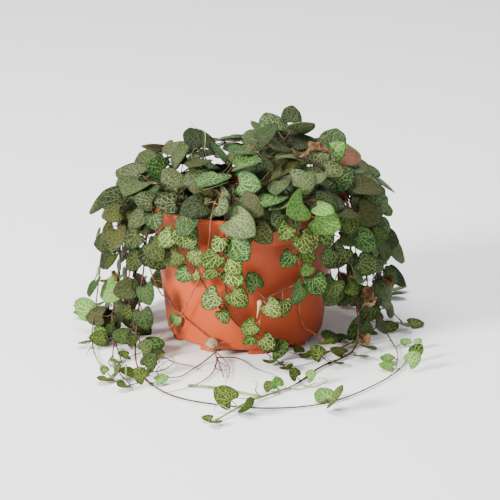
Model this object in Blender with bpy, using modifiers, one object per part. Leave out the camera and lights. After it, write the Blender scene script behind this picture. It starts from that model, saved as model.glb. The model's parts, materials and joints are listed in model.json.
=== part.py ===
"""Potted string of hearts: a round nursery pot, its soil, and the leafy stems that trail from it.

Metres, +Z up. The origin is on the pot's axis, on the surface that the pot stands on, and the front
of the plant is towards -Y. A place on a stem's route is (azimuth, radius, height): the azimuth in
degrees from the front towards +X, the radius and the height in millimetres.
"""

import math
import random

import bmesh
import bpy
from mathutils import Matrix, Vector
from mathutils.bvhtree import BVHTree
from mathutils.kdtree import KDTree

MM = 0.001

# Pot
POT_HEIGHT = 0.085
RIM_RADIUS = 0.060
LIP_HEIGHT = 0.0025
LIP_STEP = 0.0007
COLLAR_HEIGHT = 0.016
COLLAR_FOOT_RADIUS = 0.0572
BODY_TOP_RADIUS = 0.0538
BASE_RADIUS = 0.0455
CORNER_RADIUS = 0.004
WALL = 0.0014
FOOT_HEIGHT = 0.0025
FOOT_COUNT = 9
FOOT_SIZE = (0.0095, 0.0045)
FOOT_RADIUS = 0.0410
FOOT_FIRST_DEG = 9.0
DRAIN_COUNT = 6
DRAIN_RADIUS = 0.004
DRAIN_RING = 0.027
DRAIN_SIDES = 6
POT_SIDES = 32
CORNER_STEPS = 2
FLAT_ANGLE = math.radians(0.6)

# Soil
SOIL_TOP = 0.077
SOIL_EDGE_DROP = 0.0015
SOIL_SIDES = 18
SOIL_CLEARANCE = 0.002
FIT = 0.0003

# Stems
STEM_RADIUS = 0.0009
STEM_SIDES = 3
STEM_STEP = 0.0140
LOOSE_STEM_STEP = 0.0240
STEM_HOLE_RADIUS = 0.00175
STEM_HOLE_SIDES = 4
BRANCH_RADIUS = 0.0008
ROOT_DEPTH = 0.008
ROOT_SPACING = 0.0065
ROOT_RING = (0.016, 0.046)
STEM_CLEARANCE = 0.0033
PUSH_SHARE = 0.6
PUSH_BESIDE = 0.4
SAMPLE_SHARE = 0.25
RELAX_ROUNDS = 60
FLOOR_LIFT = 0.0009

# How a stem leaves the pot, in millimetres, for one rooted in the middle and one at the rim: the
# rise of its crest above the rim, then the radius and rise of its shoulder outside the rim
CREST_RISE = (23, 8)
CREST_REACH = (0.55, 26.8)
SHOULDER_RADIUS = (66, 61)
SHOULDER_RISE = (13, 4)

# Leaves
PETIOLE_RADIUS = 0.00045
PETIOLE_ROOT = 0.45
PETIOLE_KEEL = 1.7
PETIOLE_SINK = 0.0001
BLADE_RISE = 0.00095
BLADE_CENTRE = 0.36
BLADE_MARGIN = 0.0009
LEAF_FLOOR_GAP = 0.0003
RIM_ANGLES = ((0.0185, (0.5, 1.2, 2.0)), (0.0, (0.75, 1.7)))
FIRST_LEAF = 0.010
LAST_LEAF = 0.8

# How often a leaf is tried, and how it slips along its stem: 0, 1 and 2 steps, over and over
LEAF_TRIES = 50
NODE_SLIP = 0.002
SLIP_ROUND = 3

# Heart outline, as shares of the blade's length: how far its lobes reach back beside the notch and
# how soon they end, half its width, and how round its lobes and how full its tip are
LOBE_BACK = 0.6
LOBE_END = 1.5
HALF_WIDTH = 0.58
LOBE_ROUND = 0.75
TIP_FULL = 0.16

# Where a leaf grows: on the mound, hanging or lying on the surface below
MOUND, HANGING, LYING = range(3)
MOUND_FLOOR = POT_HEIGHT - 0.004
LYING_TOP = 0.008

# The way a leaf points in each of those, besides across the stem: out from the pot, on along the
# stem and up, and what each later attempt adds to out and up
LEAF_WAYS = ((0.55, 0.25, 0.0), (0.15, 0.0, -0.9), (0.0, 0.45, 0.0))
CLEARING_WAYS = ((0.0, 0.007), (0.025, 0.0), (0.0, 0.0))

# Between which heights the leaves turn from hanging to spreading, and how far they drop below that
RIM_TURN = (POT_HEIGHT - 0.006, POT_HEIGHT + 0.018)
RIM_DROP = 0.8

# What each leaf draws: the spread of its way and tilt, and what each later attempt adds; its size,
# its petiole as a share of that, what each later attempt takes from one and adds to the other, and
# how far its blade cups and droops
WANDER = (0.2, 0.009)
LEVEL_WANDER = 0.6
SIZES = (0.82, 1.18)
SHRINK = 0.006
REACH_GROWTH = 0.008
PETIOLES = (0.22, 0.42)
CUPS = (-0.25, 0.45)
DROOPS = (0.0, 0.22)
LYING_RISE = 0.15
LYING_LEAN = 0.6
LYING_TILT = 0.4
MOST_LIFT = 0.006

# How far leaves turn to the light, which comes from the front, left and above: the turn beside the
# pot, its share on the mound, and between which depths it fades towards the back
LIGHT_TURN = (-0.15, -0.7, 0.1)
MOUND_TURN = 0.3
LIT_DEPTH = (0.0, 0.05)

# Spacing of the leaf pairs and length of the blade, in millimetres: on the mound, hanging, lying
HABITS = {
    "leafy": ((17.5, 16.5), (21, 12.5), (62, 10)),
    "sparse": ((28, 18), (42, 16), (84, 10)),
    "slender": ((21, 15), (26, 11), (56, 8.5)),
}

# Each stem: azimuth where it leaves the mound, how near the rim it is rooted (0 in the middle, 1 at
# the rim), its habit, and the rest of its route
STEMS = {
    "front_left": (-36, 0.9, None, [
        (-36, 65, 85), (-33, 62, 71), (-31, 59, 56), (-25, 57, 46), (-15, 54, 31), (-5, 53, 20),
        (6, 53, 11), (14, 57, 2), (19, 69, 1)]),
    "front_cluster": (-11, 0.75, None, [
        (-10, 68, 89), (-9, 66, 76), (-12, 64, 64), (-12, 62, 54), (-10, 60, 44), (-9, 58, 34)]),
    "front_crossing": (-17, 0.5, None, [
        (-16, 72, 90), (-17, 66, 70), (-22, 60, 56), (-30, 56, 42), (-40, 53, 27), (-51, 56, 12),
        (-57, 66, 2), (-61, 76, 1)]),
    "front_middle": (4, 0.95, None, [(3, 66, 86), (2, 63, 75)]),
    "front_pink": (29, 0.8, None, [
        (32, 66, 87), (39, 62, 73), (44, 60, 60), (38, 57, 48), (29, 57, 41), (19, 58, 41),
        (9, 58, 43), (9, 57, 34), (11, 55, 26), (8, 53, 15)]),
    "front_right": (22, 0.6, None, [
        (23, 70, 89), (26, 64, 74), (32, 60, 62), (35, 57, 48), (37, 55, 34), (38, 53, 21),
        (46, 53, 10), (56, 58, 2), (68, 65, 1)]),
    "front_long": (-52, 0.7, None, [
        (-52, 69, 87), (-54, 70, 68), (-57, 69, 50), (-60, 70, 32), (-61, 72, 14), (-57, 76, 2),
        (-45, 88, 1), (-32, 105, 1), (-19, 124, 1), (-9, 129, 1), (1, 135, 1), (10, 137, 1),
        (21, 135, 1), (38, 121, 1), (49, 115, 1), (60, 108, 1), (72, 101, 1)]),
    "left_to_front": (-74, 0.95, None, [
        (-78, 63, 80), (-80, 60, 60), (-76, 57, 40), (-64, 54, 26), (-49, 53, 22), (-34, 53, 16),
        (-21, 54, 8), (-14, 61, 1), (-11, 72, 1), (-8, 85, 1)]),
    "left_outer": (-92, 0.35, "slender", [
        (-92, 75, 91), (-91, 81, 77), (-90, 84, 60), (-90, 85, 40), (-89, 87, 22), (-88, 89, 6),
        (-80, 93, 1), (-66, 97, 1), (-52, 105, 1), (-41, 114, 1)]),
    "left_front": (-80, 0.6, "leafy", [
        (-80, 69, 85), (-79, 74, 70), (-81, 74, 50), (-78, 76, 30), (-80, 79, 12), (-84, 85, 2),
        (-74, 81, 1), (-62, 80, 1), (-51, 91, 1)]),
    "left_near": (-71, 0.85, "leafy", [
        (-72, 70, 85), (-74, 73, 66), (-74, 72, 46), (-74, 71, 28), (-70, 71, 11), (-60, 74, 1),
        (-49, 74, 1)]),
    "left_far": (-101, 0.7, "leafy", [
        (-100, 69, 85), (-99, 73, 68), (-102, 74, 48), (-100, 75, 28), (-98, 78, 10), (-101, 86, 1),
        (-108, 94, 1), (-112, 101, 1)]),
    "left_inner": (-87, 0.9, "leafy", [
        (-87, 67, 83), (-88, 68, 65), (-86, 66, 47), (-89, 68, 30), (-86, 70, 15), (-78, 75, 5),
        (-69, 82, 5), (-58, 92, 1), (-47, 102, 1), (-33, 117, 1)]),
    "left_back": (-112, 0.85, "sparse", [
        (-110, 68, 84), (-112, 70, 64), (-110, 69, 44), (-114, 71, 24), (-118, 77, 4),
        (-128, 92, 1), (-137, 112, 1)]),
    "left_top": (-74, 0.3, "leafy", [(-75, 72, 86), (-76, 77, 74), (-75, 77, 62), (-77, 76, 52)]),
    "left_rear": (-122, 0.55, "sparse", [(-123, 70, 86), (-124, 75, 68), (-122, 74, 50), (-125, 73, 38)]),
    "right_front": (62, 0.75, None, [
        (62, 68, 87), (64, 68, 70), (63, 68, 50), (66, 70, 32), (64, 74, 13), (58, 79, 2),
        (48, 78, 1), (38, 76, 1), (28, 83, 1), (21, 94, 1), (13, 108, 1), (5, 116, 1), (-1, 138, 4),
        (-4, 149, 1), (-6, 156, 1)]),
    "right_near": (76, 0.85, "leafy", [
        (75, 68, 85), (76, 71, 70), (75, 72, 53), (78, 73, 36), (75, 75, 18), (73, 79, 3),
        (66, 77, 1), (56, 71, 1), (45, 62, 1), (34, 56, 1)]),
    "right_middle": (88, 0.5, "leafy", [
        (88, 69, 86), (89, 76, 72), (87, 79, 56), (90, 79, 38), (88, 79, 19), (91, 76, 3),
        (86, 77, 1), (80, 86, 1), (71, 96, 1), (60, 104, 1), (53, 108, 1)]),
    "right_far": (101, 0.7, "leafy", [
        (100, 68, 85), (101, 73, 69), (99, 76, 50), (102, 76, 31), (99, 79, 13), (97, 86, 2),
        (93, 96, 1)]),
    "right_back": (113, 0.85, "sparse", [
        (112, 69, 85), (114, 72, 65), (111, 71, 45), (115, 73, 24), (118, 79, 4), (124, 96, 1),
        (130, 116, 1)]),
    "right_top": (69, 0.4, "leafy", [(68, 69, 86), (70, 75, 74), (69, 77, 64), (71, 76, 54)]),
    "right_outer": (95, 0.3, "leafy", [(94, 70, 87), (95, 79, 73), (93, 84, 57), (96, 83, 41), (94, 82, 28)]),
    "right_short": (50, 0.9, "leafy", [(51, 66, 85), (52, 66, 68), (54, 65, 52), (57, 66, 40)]),
    "back_right": (131, 0.8, "sparse", [
        (132, 68, 86), (134, 70, 66), (131, 68, 45), (135, 71, 23), (138, 78, 3), (141, 97, 1),
        (146, 121, 1)]),
    "back_long": (161, 0.85, "slender", [
        (161, 67, 85), (162, 69, 64), (160, 67, 43), (163, 69, 21), (166, 78, 2), (168, 100, 1),
        (172, 130, 1), (176, 155, 1)]),
    "back_middle": (175, 0.6, "sparse", [(175, 73, 87), (176, 77, 69), (174, 75, 50), (177, 74, 36)]),
    "back_left": (189, 0.85, "sparse", [
        (188, 67, 85), (187, 69, 63), (190, 67, 42), (188, 70, 18), (191, 80, 2), (197, 104, 1),
        (203, 130, 1)]),
    "back_side": (217, 0.85, "sparse", [
        (216, 67, 85), (214, 70, 64), (217, 68, 44), (214, 72, 22), (212, 80, 3), (216, 101, 1),
        (223, 123, 1)]),
}

# Side branches, bead-like tubers and pointed buds: they start on the stem at the place nearest to
# their first one
BRANCHES = {"right_front": [(3, 118, 1), (-3, 108, 1), (-10, 103, 1), (-18, 103, 1)]}
TUBERS = {
    "left_near": [((-50, 63, 97), 4.5)],
    "left_to_front": [((-21, 54, 9), 9.0)],
    "right_near": [((76, 73, 24), 10.0)],
    "right_middle": [((89, 79, 60), 5.0)],
    "back_middle": [((175, 75, 50), 6.0)],
}
BUDS = {"front_pink": [((7, 58, 38), (5, 58, 27))], "left_front": [((-80, 75, 58), (-84, 79, 49))]}
TUBER_FLATNESS = 0.85
BUD_RADIUS = 0.0016
BUD_SIDES = 5

# Stems of the mound: whole route, from the soil to the tip
CROWN_STEMS = {
    "crown_right": [(200, 18), (180, 14, 104), (95, 18, 118), (62, 34, 117), (56, 52, 107)],
    "crown_left": [(20, 12), (-30, 14, 102), (-72, 27, 110), (-90, 43, 106), (-96, 57, 95)],
    "crown_back": [(120, 22), (140, 22, 103), (176, 25, 111), (200, 40, 107), (206, 58, 98)],
    "crown_front": [(-60, 24), (-45, 24, 100), (-22, 32, 112), (-10, 46, 107), (-6, 60, 96)],
    "crown_right_back": [(80, 28), (84, 34, 102), (98, 50, 109), (108, 66, 101), (113, 76, 91)],
    "crown_left_back": [(-135, 26), (-132, 34, 101), (-126, 50, 104), (-122, 67, 94)],
    "crown_left_front": [(-30, 34), (-34, 42, 96), (-42, 55, 98), (-48, 68, 90)],
    "crown_right_front": [(45, 34), (42, 42, 99), (36, 55, 103), (33, 68, 94)],
    "crown_back_right": [(150, 34), (152, 42, 100), (150, 58, 104), (148, 72, 95)],
    "crown_tall": [(60, 10), (75, 13, 104), (92, 16, 114), (106, 20, 120), (103, 28, 122)],
    "crown_front_inner": [(15, 26), (16, 28, 98), (22, 36, 108), (26, 50, 106), (27, 62, 98)],
    "crown_middle": [(-25, 16), (-25, 17, 98), (-40, 15, 109), (0, 13, 115), (30, 31, 114)],
}

# Stems whose leaves follow no even spacing: distance from the root and length of the blade, in
# millimetres, of each pair, or of the one leaf on the side that a third value gives
LEAF_PAIRS = {
    "front_left": [(22, 16), (34, 15), (45, 13), (58, 12), (74, 10), (95, 10, -1), (142, 10), (158, 10)],
    "front_cluster": [(22, 16), (34, 16), (47, 15), (58, 14), (69, 13), (80, 12), (91, 11)],
    "front_crossing": [(24, 16), (38, 15), (53, 14), (176, 10)],
    "front_middle": [(20, 16), (32, 15), (44, 13)],
    "front_pink": [(20, 16), (33, 16), (46, 14), (59, 12), (80, 8, 1), (93, 14), (110, 10, -1),
                   (126, 11), (143, 9, 1), (155, 9)],
    "front_right": [(20, 16), (33, 16), (46, 14), (59, 12), (80, 11), (151, 10), (178, 10)],
    "front_long": [(24, 15), (38, 15), (52, 13), (67, 12), (82, 12), (98, 11), (115, 11), (133, 10),
                   (150, 10), (178, 10), (197, 9), (316, 12), (385, 9), (400, 9), (434, 7)],
    "left_to_front": [(22, 15), (35, 15), (49, 13), (68, 11), (120, 9, 1)],
    "right_front": [(22, 16), (37, 16), (52, 14), (68, 17), (86, 14), (104, 13), (124, 12), (146, 10),
                    (167, 9), (199, 8), (224, 8), (262, 11), (284, 8)],
}


def at(azimuth, radius, height):
    """The point at an azimuth in degrees, and a radius and height in millimetres."""
    turn = math.radians(azimuth)
    return Vector((radius * math.sin(turn), -radius * math.cos(turn), height)) * MM


def mix(low, high, share):
    """The value that lies a share of the way from low to high."""
    return low + (high - low) * share


def ease(value, low, high):
    """0 below low, 1 above high, and smooth between them."""
    share = min(1.0, max(0.0, (value - low) / (high - low)))
    return share * share * (3 - 2 * share)


def smooth_curve(points, per_span=12):
    """Points along a smooth curve that passes through the given ones."""
    ends = [2 * points[0] - points[1], *points, 2 * points[-1] - points[-2]]
    curve = []
    for a, b, c, d in zip(ends, ends[1:], ends[2:], ends[3:]):
        for k in range(per_span):
            t = k / per_span
            cubic = (3 * b - a - 3 * c + d) * t**3
            curve.append(0.5 * (2 * b + (c - a) * t + (2 * a - 5 * b + 4 * c - d) * t**2 + cubic))
    return [*curve, points[-1]]


def lengths_along(points):
    """The distance of each point from the first, along the line."""
    total = [0.0]
    for a, b in zip(points, points[1:]):
        total.append(total[-1] + (b - a).length)
    return total


def point_along(points, distance):
    """The point at a distance along a line, and the line's direction there."""
    total = lengths_along(points)
    distance = min(max(distance, 0.0), total[-1])
    k = 0
    while k < len(points) - 2 and total[k + 1] < distance:
        k += 1
    span = points[k + 1] - points[k]
    return points[k] + span * ((distance - total[k]) / span.length), span.normalized()


def root_places():
    """Where each stem comes out of the soil: near its own azimuth, and clear of the others."""
    places = {}
    for name, (azimuth, outer, _, _) in STEMS.items():
        places[name] = at(azimuth, mix(*ROOT_RING, outer) / MM, 0)
    for name, route in CROWN_STEMS.items():
        places[name] = at(*route[0], 0)
    names = list(places)
    for _ in range(RELAX_ROUNDS):
        for first in names:
            for second in names:
                apart = places[first] - places[second]
                if first != second and apart.length < ROOT_SPACING:
                    push = apart.normalized() * (ROOT_SPACING - apart.length) / 2
                    places[first] += push
                    places[second] -= push
        for name in names:
            if places[name].length > ROOT_RING[1]:
                places[name] *= ROOT_RING[1] / places[name].length
    return places


def stem_routes():
    """Each stem as a line of even steps: up from its root, over the rim, and on along its route."""
    rim = POT_HEIGHT / MM
    routes = {}
    for name, root in root_places().items():
        foot = root + Vector((0, 0, SOIL_TOP - ROOT_DEPTH))
        neck = root + Vector((0, 0, SOIL_TOP + STEM_HOLE_RADIUS))
        if name in STEMS:
            azimuth, outer, _, rest = STEMS[name]
            share, reach = CREST_REACH
            crest = (azimuth, share * root.length / MM + reach, rim + mix(*CREST_RISE, outer))
            shoulder = (azimuth, mix(*SHOULDER_RADIUS, outer), rim + mix(*SHOULDER_RISE, outer))
            places = [crest, shoulder, *rest]
        else:
            places = CROWN_STEMS[name][1:]
        points = smooth_curve([neck, *(at(*place) for place in places)])
        length = lengths_along(points)[-1]
        steps = round(length / (STEM_STEP if name in LEAF_PAIRS else LOOSE_STEM_STEP))
        even = [point_along(points, length * k / steps)[0] for k in range(steps + 1)]
        routes[name] = [foot, *even]
    return routes


def pot_radius_outside(height):
    """The pot's outer radius at a height."""
    ledge = POT_HEIGHT - COLLAR_HEIGHT
    if height > ledge:
        return mix(COLLAR_FOOT_RADIUS, RIM_RADIUS, (height - ledge) / COLLAR_HEIGHT)
    return mix(BASE_RADIUS, BODY_TOP_RADIUS, max(height, 0) / ledge)


def clear_of_pot(point):
    """The point moved off the pot's wall and rim, and up to the surface that the pot stands on."""
    room = STEM_RADIUS + 2 * FIT
    out = Vector((point.x, point.y, 0))
    if out.length > RIM_RADIUS - 5 * WALL and point.z < POT_HEIGHT + room:
        if point.z > POT_HEIGHT - 2 * WALL and out.length < RIM_RADIUS:
            point.z = POT_HEIGHT + room
        else:
            least = pot_radius_outside(point.z) + room
            if out.length < least:
                point += out.normalized() * (least - out.length)
    elif out.length > BASE_RADIUS - 3 * WALL and point.z < SOIL_TOP:
        point += out.normalized() * (pot_radius_outside(point.z) + room - out.length)
    point.z = max(point.z, FLOOR_LIFT)
    return point


def samples_of(route):
    """Points close together along a route's straight steps, past the part in the soil."""
    steps = range(1, len(route) - 1)
    shares = [SAMPLE_SHARE * k for k in range(round(1 / SAMPLE_SHARE))]
    found = [(k, share, route[k].lerp(route[k + 1], share)) for k in steps for share in shares]
    return [*found, (len(route) - 2, 1.0, route[-1])]


def keep_apart(routes):
    """Bends each stem clear of those before it, and of the pot."""
    placed = []
    for route in routes.values():
        tree = KDTree(max(1, len(placed)))
        for index, point in enumerate(placed):
            tree.insert(point, index)
        tree.balance()
        for _ in range(RELAX_ROUNDS):
            moved = False
            for k, share, point in samples_of(route):
                for near, _, distance in tree.find_range(point, STEM_CLEARANCE):
                    away = point - near
                    if distance < FIT:
                        away = Vector((0, 0, 1))
                    push = away.normalized() * (STEM_CLEARANCE - distance) * PUSH_SHARE
                    shares = ((k - 1, PUSH_BESIDE), (k, 1 - share), (k + 1, share), (k + 2, PUSH_BESIDE))
                    for index, weight in shares:
                        if 1 < index < len(route):
                            route[index] += push * weight
                    moved = True
            for k in range(2, len(route)):
                clear_of_pot(route[k])
            if not moved:
                break
        placed += [point for _, _, point in samples_of(route)]
    return routes


def facing(point):
    """The way a leaf faces at a point: up on the mound, outwards below it, and towards the light."""
    out = Vector((point.x, point.y, 0))
    lean = min(1.0, out.length / (1.5 * RIM_RADIUS))
    out = out.normalized() if out.length > FIT else Vector((0, -1, 0))
    over_rim = ease(point.z, *RIM_TURN)
    near_floor = 1 - ease(point.z, 0.003, 0.012)
    high_up = ease(point.z, 0.02, POT_HEIGHT)
    up = max(over_rim, near_floor)
    level = mix(0.75 * lean * high_up, LYING_LEAN, near_floor)
    face = out * mix(1.0, level, up) + Vector((0, 0, mix(0.25, 1.0, up)))
    lit = 1 - ease(point.y, *LIT_DEPTH)
    return (face + Vector(LIGHT_TURN) * lit * mix(1.0, MOUND_TURN, over_rim)).normalized()


def zone_of(point):
    """Where a leaf at a point grows."""
    if point.z > MOUND_FLOOR:
        return MOUND
    return HANGING if point.z > LYING_TOP else LYING


def leaf_pairs(name, route):
    """Distance along a stem, blade length and sides of each of its pairs of leaves."""
    if name in LEAF_PAIRS:
        pairs = []
        for distance, length, *side in LEAF_PAIRS[name]:
            pairs.append((distance * MM, length * MM, side or [-1, 1]))
        return pairs
    habit = HABITS[STEMS[name][2] if name in STEMS else "leafy"]
    total = lengths_along(route)[-1]
    distance = ROOT_DEPTH + FIRST_LEAF
    pairs = []
    while distance < total - STEM_RADIUS:
        point, _ = point_along(route, distance)
        spacing, length = habit[zone_of(point)]
        pairs.append((distance, length * MM, [-1, 1]))
        distance += spacing * MM
    pairs.append((total - STEM_RADIUS, LAST_LEAF * pairs[-1][1], [-1, 1]))
    return pairs


def outline(angle):
    """A heart's outline: how far along and how far across, for an angle from its notch to its tip."""
    along = (1 - math.cos(angle)) / 2 - LOBE_BACK * math.sin(angle) * (1 - angle / math.pi) ** LOBE_END
    across = HALF_WIDTH * math.sin(angle) ** LOBE_ROUND * ((1 + math.cos(angle)) / 2) ** TIP_FULL
    return along, across


def blade_height(along, across, cup, droop):
    """How far a blade's middle surface lies above its base plane, as a share of its length."""
    return cup * across**2 - droop * max(along, 0.0) ** 2


def leaf_shape(length, cup, droop, petiole, margin=0.0):
    """A leaf's points and faces in its own frame, from its petiole's root to its tip along +X.

    The blade is a cone over its outline on top, and one from its notch underneath.
    """
    reach = length + 2 * margin
    half_petiole = PETIOLE_RADIUS + margin * 0.3
    side = [outline(angle) for angle in next(a for least, a in RIM_ANGLES if length >= least)]
    rim = [(0.0, half_petiole / reach), *side, (1.0, 0.0)]
    rim += [(along, -across) for along, across in reversed(rim[:-1])]
    points = []
    for along, across in rim:
        height = blade_height(along, across, cup, droop) * reach
        points.append(Vector((along * reach - margin, across * reach, height)))
    middle = blade_height(BLADE_CENTRE, 0.0, cup, droop) * reach
    rise = BLADE_RISE + margin * 0.7
    points.append(Vector((BLADE_CENTRE * reach - margin, 0, middle + rise)))
    points.append(Vector((0, 0, -PETIOLE_KEEL * half_petiole)))
    points.append(Vector((-petiole, half_petiole * PETIOLE_ROOT, 0)))
    points.append(Vector((-petiole, -half_petiole * PETIOLE_ROOT, 0)))
    points.append(Vector((-petiole, 0, -PETIOLE_KEEL * half_petiole * PETIOLE_ROOT)))
    count = len(rim)
    top, keel, root_left, root_right, root_keel = range(count, count + 5)
    last = count - 1
    faces = [(top, b, a) for a, b in zip(range(count), range(1, count))]
    faces += [(keel, a, b) for a, b in zip(range(count), range(1, count))]
    faces += [(top, 0, last), (0, root_left, root_right), (0, root_right, last)]
    faces += [(0, keel, root_keel), (0, root_keel, root_left)]
    faces += [(last, root_right, root_keel), (last, root_keel, keel)]
    faces += [(root_left, root_keel, root_right)]
    return points, faces


def leaf_frame(start, direction, face, petiole):
    """The placing of a leaf whose petiole starts at a point and whose blade faces a way."""
    forward = direction.normalized()
    up = (face - forward * face.dot(forward)).normalized()
    left = up.cross(forward)
    turn = Matrix((forward, left, up)).transposed().to_4x4()
    return Matrix.Translation(start + forward * petiole) @ turn


def one_leaf(seed, point, along, side, length, attempt):
    """A leaf as its rule draws it: placing, length, cup, droop and petiole."""
    draw = random.Random(f"{seed} {attempt}")
    zone = zone_of(point)
    face = facing(point)
    across = along.cross(face)
    across = across.normalized() if across.length > 0.1 else face.orthogonal().normalized()
    out = Vector((point.x, point.y, 0)).normalized()
    outward, onward, upward = LEAF_WAYS[zone]
    more_outward, more_upward = CLEARING_WAYS[zone]
    spread = WANDER[0] + WANDER[1] * attempt
    direction = across * side + out * (outward + attempt * more_outward) + along * onward
    direction.z += upward + attempt * more_upward
    if zone == MOUND:
        direction.z -= RIM_DROP * (1 - ease(point.z, *RIM_TURN))
    wander = [draw.gauss(0, spread) for _ in range(3)]
    direction += Vector((wander[0], wander[1], LEVEL_WANDER * wander[2]))
    tilt = Vector([draw.gauss(0, spread) for _ in range(3)])
    if zone == LYING:
        direction.z = abs(direction.z) * LYING_RISE
        tilt *= LYING_TILT
    size = length * draw.uniform(*SIZES) * (1 - SHRINK * attempt)
    petiole = size * draw.uniform(*PETIOLES) * (1 + REACH_GROWTH * attempt) + STEM_RADIUS
    cup = draw.uniform(*CUPS)
    droop = draw.uniform(*DROOPS)
    if zone == LYING:
        droop = 0.0
        cup = abs(cup)
    frame = leaf_frame(point, direction, face + tilt, petiole)
    return frame, size, cup, droop, petiole


def placed_leaf(leaf, margin=0.0):
    """A leaf's points in place, and its faces."""
    frame, length, cup, droop, petiole = leaf
    points, faces = leaf_shape(length, cup, droop, petiole + PETIOLE_SINK, margin)
    return [frame @ point for point in points], faces


def leaf_fits(leaf, own, others, pot_tree):
    """Whether a leaf stays clear of the pot, of its own stem's blades, and of the other stems."""
    points, faces = placed_leaf(leaf, BLADE_MARGIN)
    if min(point.z for point in points[:-3]) < LEAF_FLOOR_GAP:
        return False
    low = [point for point in points if point.z < SOIL_TOP + SOIL_CLEARANCE]
    if any(math.hypot(point.x, point.y) < pot_radius_outside(point.z) for point in low):
        return False
    tree = BVHTree.FromPolygons(points, faces)
    if tree.overlap(pot_tree) or any(tree.overlap(other) for other in others):
        return False
    blade_faces = [face for face in faces if max(face) < len(points) - 3]
    blade = BVHTree.FromPolygons(points, blade_faces)
    return not any(blade.overlap(other) for other in own)


def lift_off_floor(leaf):
    """The leaf raised until no part of its blade reaches the surface below it."""
    frame, length, cup, droop, petiole = leaf
    points, _ = placed_leaf(leaf, BLADE_MARGIN)
    low = min(point.z for point in points[:-3])
    if MOST_LIFT > LEAF_FLOOR_GAP - low > 0:
        start = frame @ Vector((-petiole, 0, 0))
        notch = frame.translation + Vector((0, 0, LEAF_FLOOR_GAP - low + FIT))
        petiole = (notch - start).length
        up = frame.to_3x3() @ Vector((0, 0, 1))
        return leaf_frame(start, notch - start, up, petiole), length, cup, droop, petiole
    return leaf


def stem_hull(route):
    """A search tree of a square tube round a route."""
    sides = 4
    points = []
    for k, point in enumerate(route):
        ahead = route[min(k + 1, len(route) - 1)] - route[max(k - 1, 0)]
        ahead.normalize()
        side = ahead.orthogonal().normalized()
        other = ahead.cross(side)
        for n in range(sides):
            turn = math.tau * n / sides
            offset = side * math.cos(turn) + other * math.sin(turn)
            points.append(point + offset * (STEM_RADIUS + FIT))
    faces = []
    for k in range(len(route) - 1):
        for n in range(sides):
            a, b = sides * k + n, sides * k + (n + 1) % sides
            faces.append((a, b, b + sides, a + sides))
    return BVHTree.FromPolygons(points, faces)


def nearest_on(route, place):
    """The point of a route that is nearest to a place, given as azimuth, radius and height."""
    return min((point for _, _, point in samples_of(route)), key=lambda point: (point - at(*place)).length)


def branch_routes(name, route):
    """The side branches of a stem, each as a line that starts on the stem."""
    places = BRANCHES.get(name)
    if not places:
        return []
    start = nearest_on(route, places[0])
    points = smooth_curve([start, *(at(*place) for place in places[1:])], 3)
    return [[start, *(clear_of_pot(point) for point in points[1:])]]


def tuber_balls(name, route):
    """Centre and radius of each tuber on a stem."""
    balls = []
    for place, diameter in TUBERS.get(name, []):
        radius = diameter * MM / 2
        centre = nearest_on(route, place).copy()
        centre.z = max(centre.z, radius * TUBER_FLATNESS + FIT)
        wall = Vector((centre.x, centre.y, 0))
        least = pot_radius_outside(centre.z) + radius + 2 * FIT
        if centre.z < POT_HEIGHT and wall.length < least:
            centre += wall.normalized() * (least - wall.length)
        balls.append((centre, radius))
    return balls


def bud_ends(name, route):
    """Where each bud on a stem starts, on the stem, and where its point is."""
    ends = []
    for first, last in BUDS.get(name, []):
        start = nearest_on(route, first)
        ends.append((start, start + at(*last) - at(*first)))
    return ends


def extra_hulls(name, route):
    """Search trees round the branches, tubers and buds of a stem."""
    lines = branch_routes(name, route)
    lines += [[start, end] for start, end in bud_ends(name, route)]
    hulls = [stem_hull(line) for line in lines]
    for centre, radius in tuber_balls(name, route):
        shape = bmesh.new()
        bmesh.ops.create_icosphere(shape, subdivisions=1, radius=1.15 * radius)
        bmesh.ops.translate(shape, vec=centre, verts=shape.verts)
        hulls.append(BVHTree.FromBMesh(shape))
        shape.free()
    return hulls


def grow_leaves(routes, pot_tree):
    """The leaves of each stem, each placed by its rule where it stays clear of what came before."""
    stems = {name: [stem_hull(route), *extra_hulls(name, route)] for name, route in routes.items()}
    grown = {}
    trees = {name: list(group) for name, group in stems.items()}
    for name, route in routes.items():
        others = [tree for other, group in trees.items() if other != name for tree in group]
        own = list(stems[name])
        tip = lengths_along(route)[-1] - STEM_RADIUS
        leaves = []
        for node, (distance, length, sides) in enumerate(leaf_pairs(name, route)):
            for side in sides:
                seed = f"{name} {node} {side}"
                for attempt in range(LEAF_TRIES):
                    slip = random.Random(seed).choice((-1, 1)) * NODE_SLIP * (attempt % SLIP_ROUND)
                    point, along = point_along(route, min(distance + slip, tip))
                    leaf = lift_off_floor(one_leaf(seed, point, along, side, length, attempt))
                    if leaf_fits(leaf, own, others, pot_tree):
                        points, faces = placed_leaf(leaf, 0.3 * BLADE_MARGIN)
                        blade_faces = [face for face in faces if max(face) < len(points) - 3]
                        own.append(BVHTree.FromPolygons(points, blade_faces))
                        trees[name].append(BVHTree.FromPolygons(*placed_leaf(leaf)))
                        leaves.append(leaf)
                        break
        grown[name] = leaves
    return grown


def new_material(name, colour, roughness):
    """A Principled material with a flat colour."""
    material = bpy.data.materials.new(name)
    material.use_nodes = True
    shader = material.node_tree.nodes["Principled BSDF"]
    shader.inputs["Base Color"].default_value = (*colour, 1)
    shader.inputs["Roughness"].default_value = roughness
    shader.inputs["Metallic"].default_value = 0
    return material


def new_object(name, mesh, material, collection):
    """An object for a mesh, with its material, in a collection."""
    piece = bpy.data.objects.new(name, mesh)
    collection.objects.link(piece)
    mesh.materials.clear()
    mesh.materials.append(material)
    return piece


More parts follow.
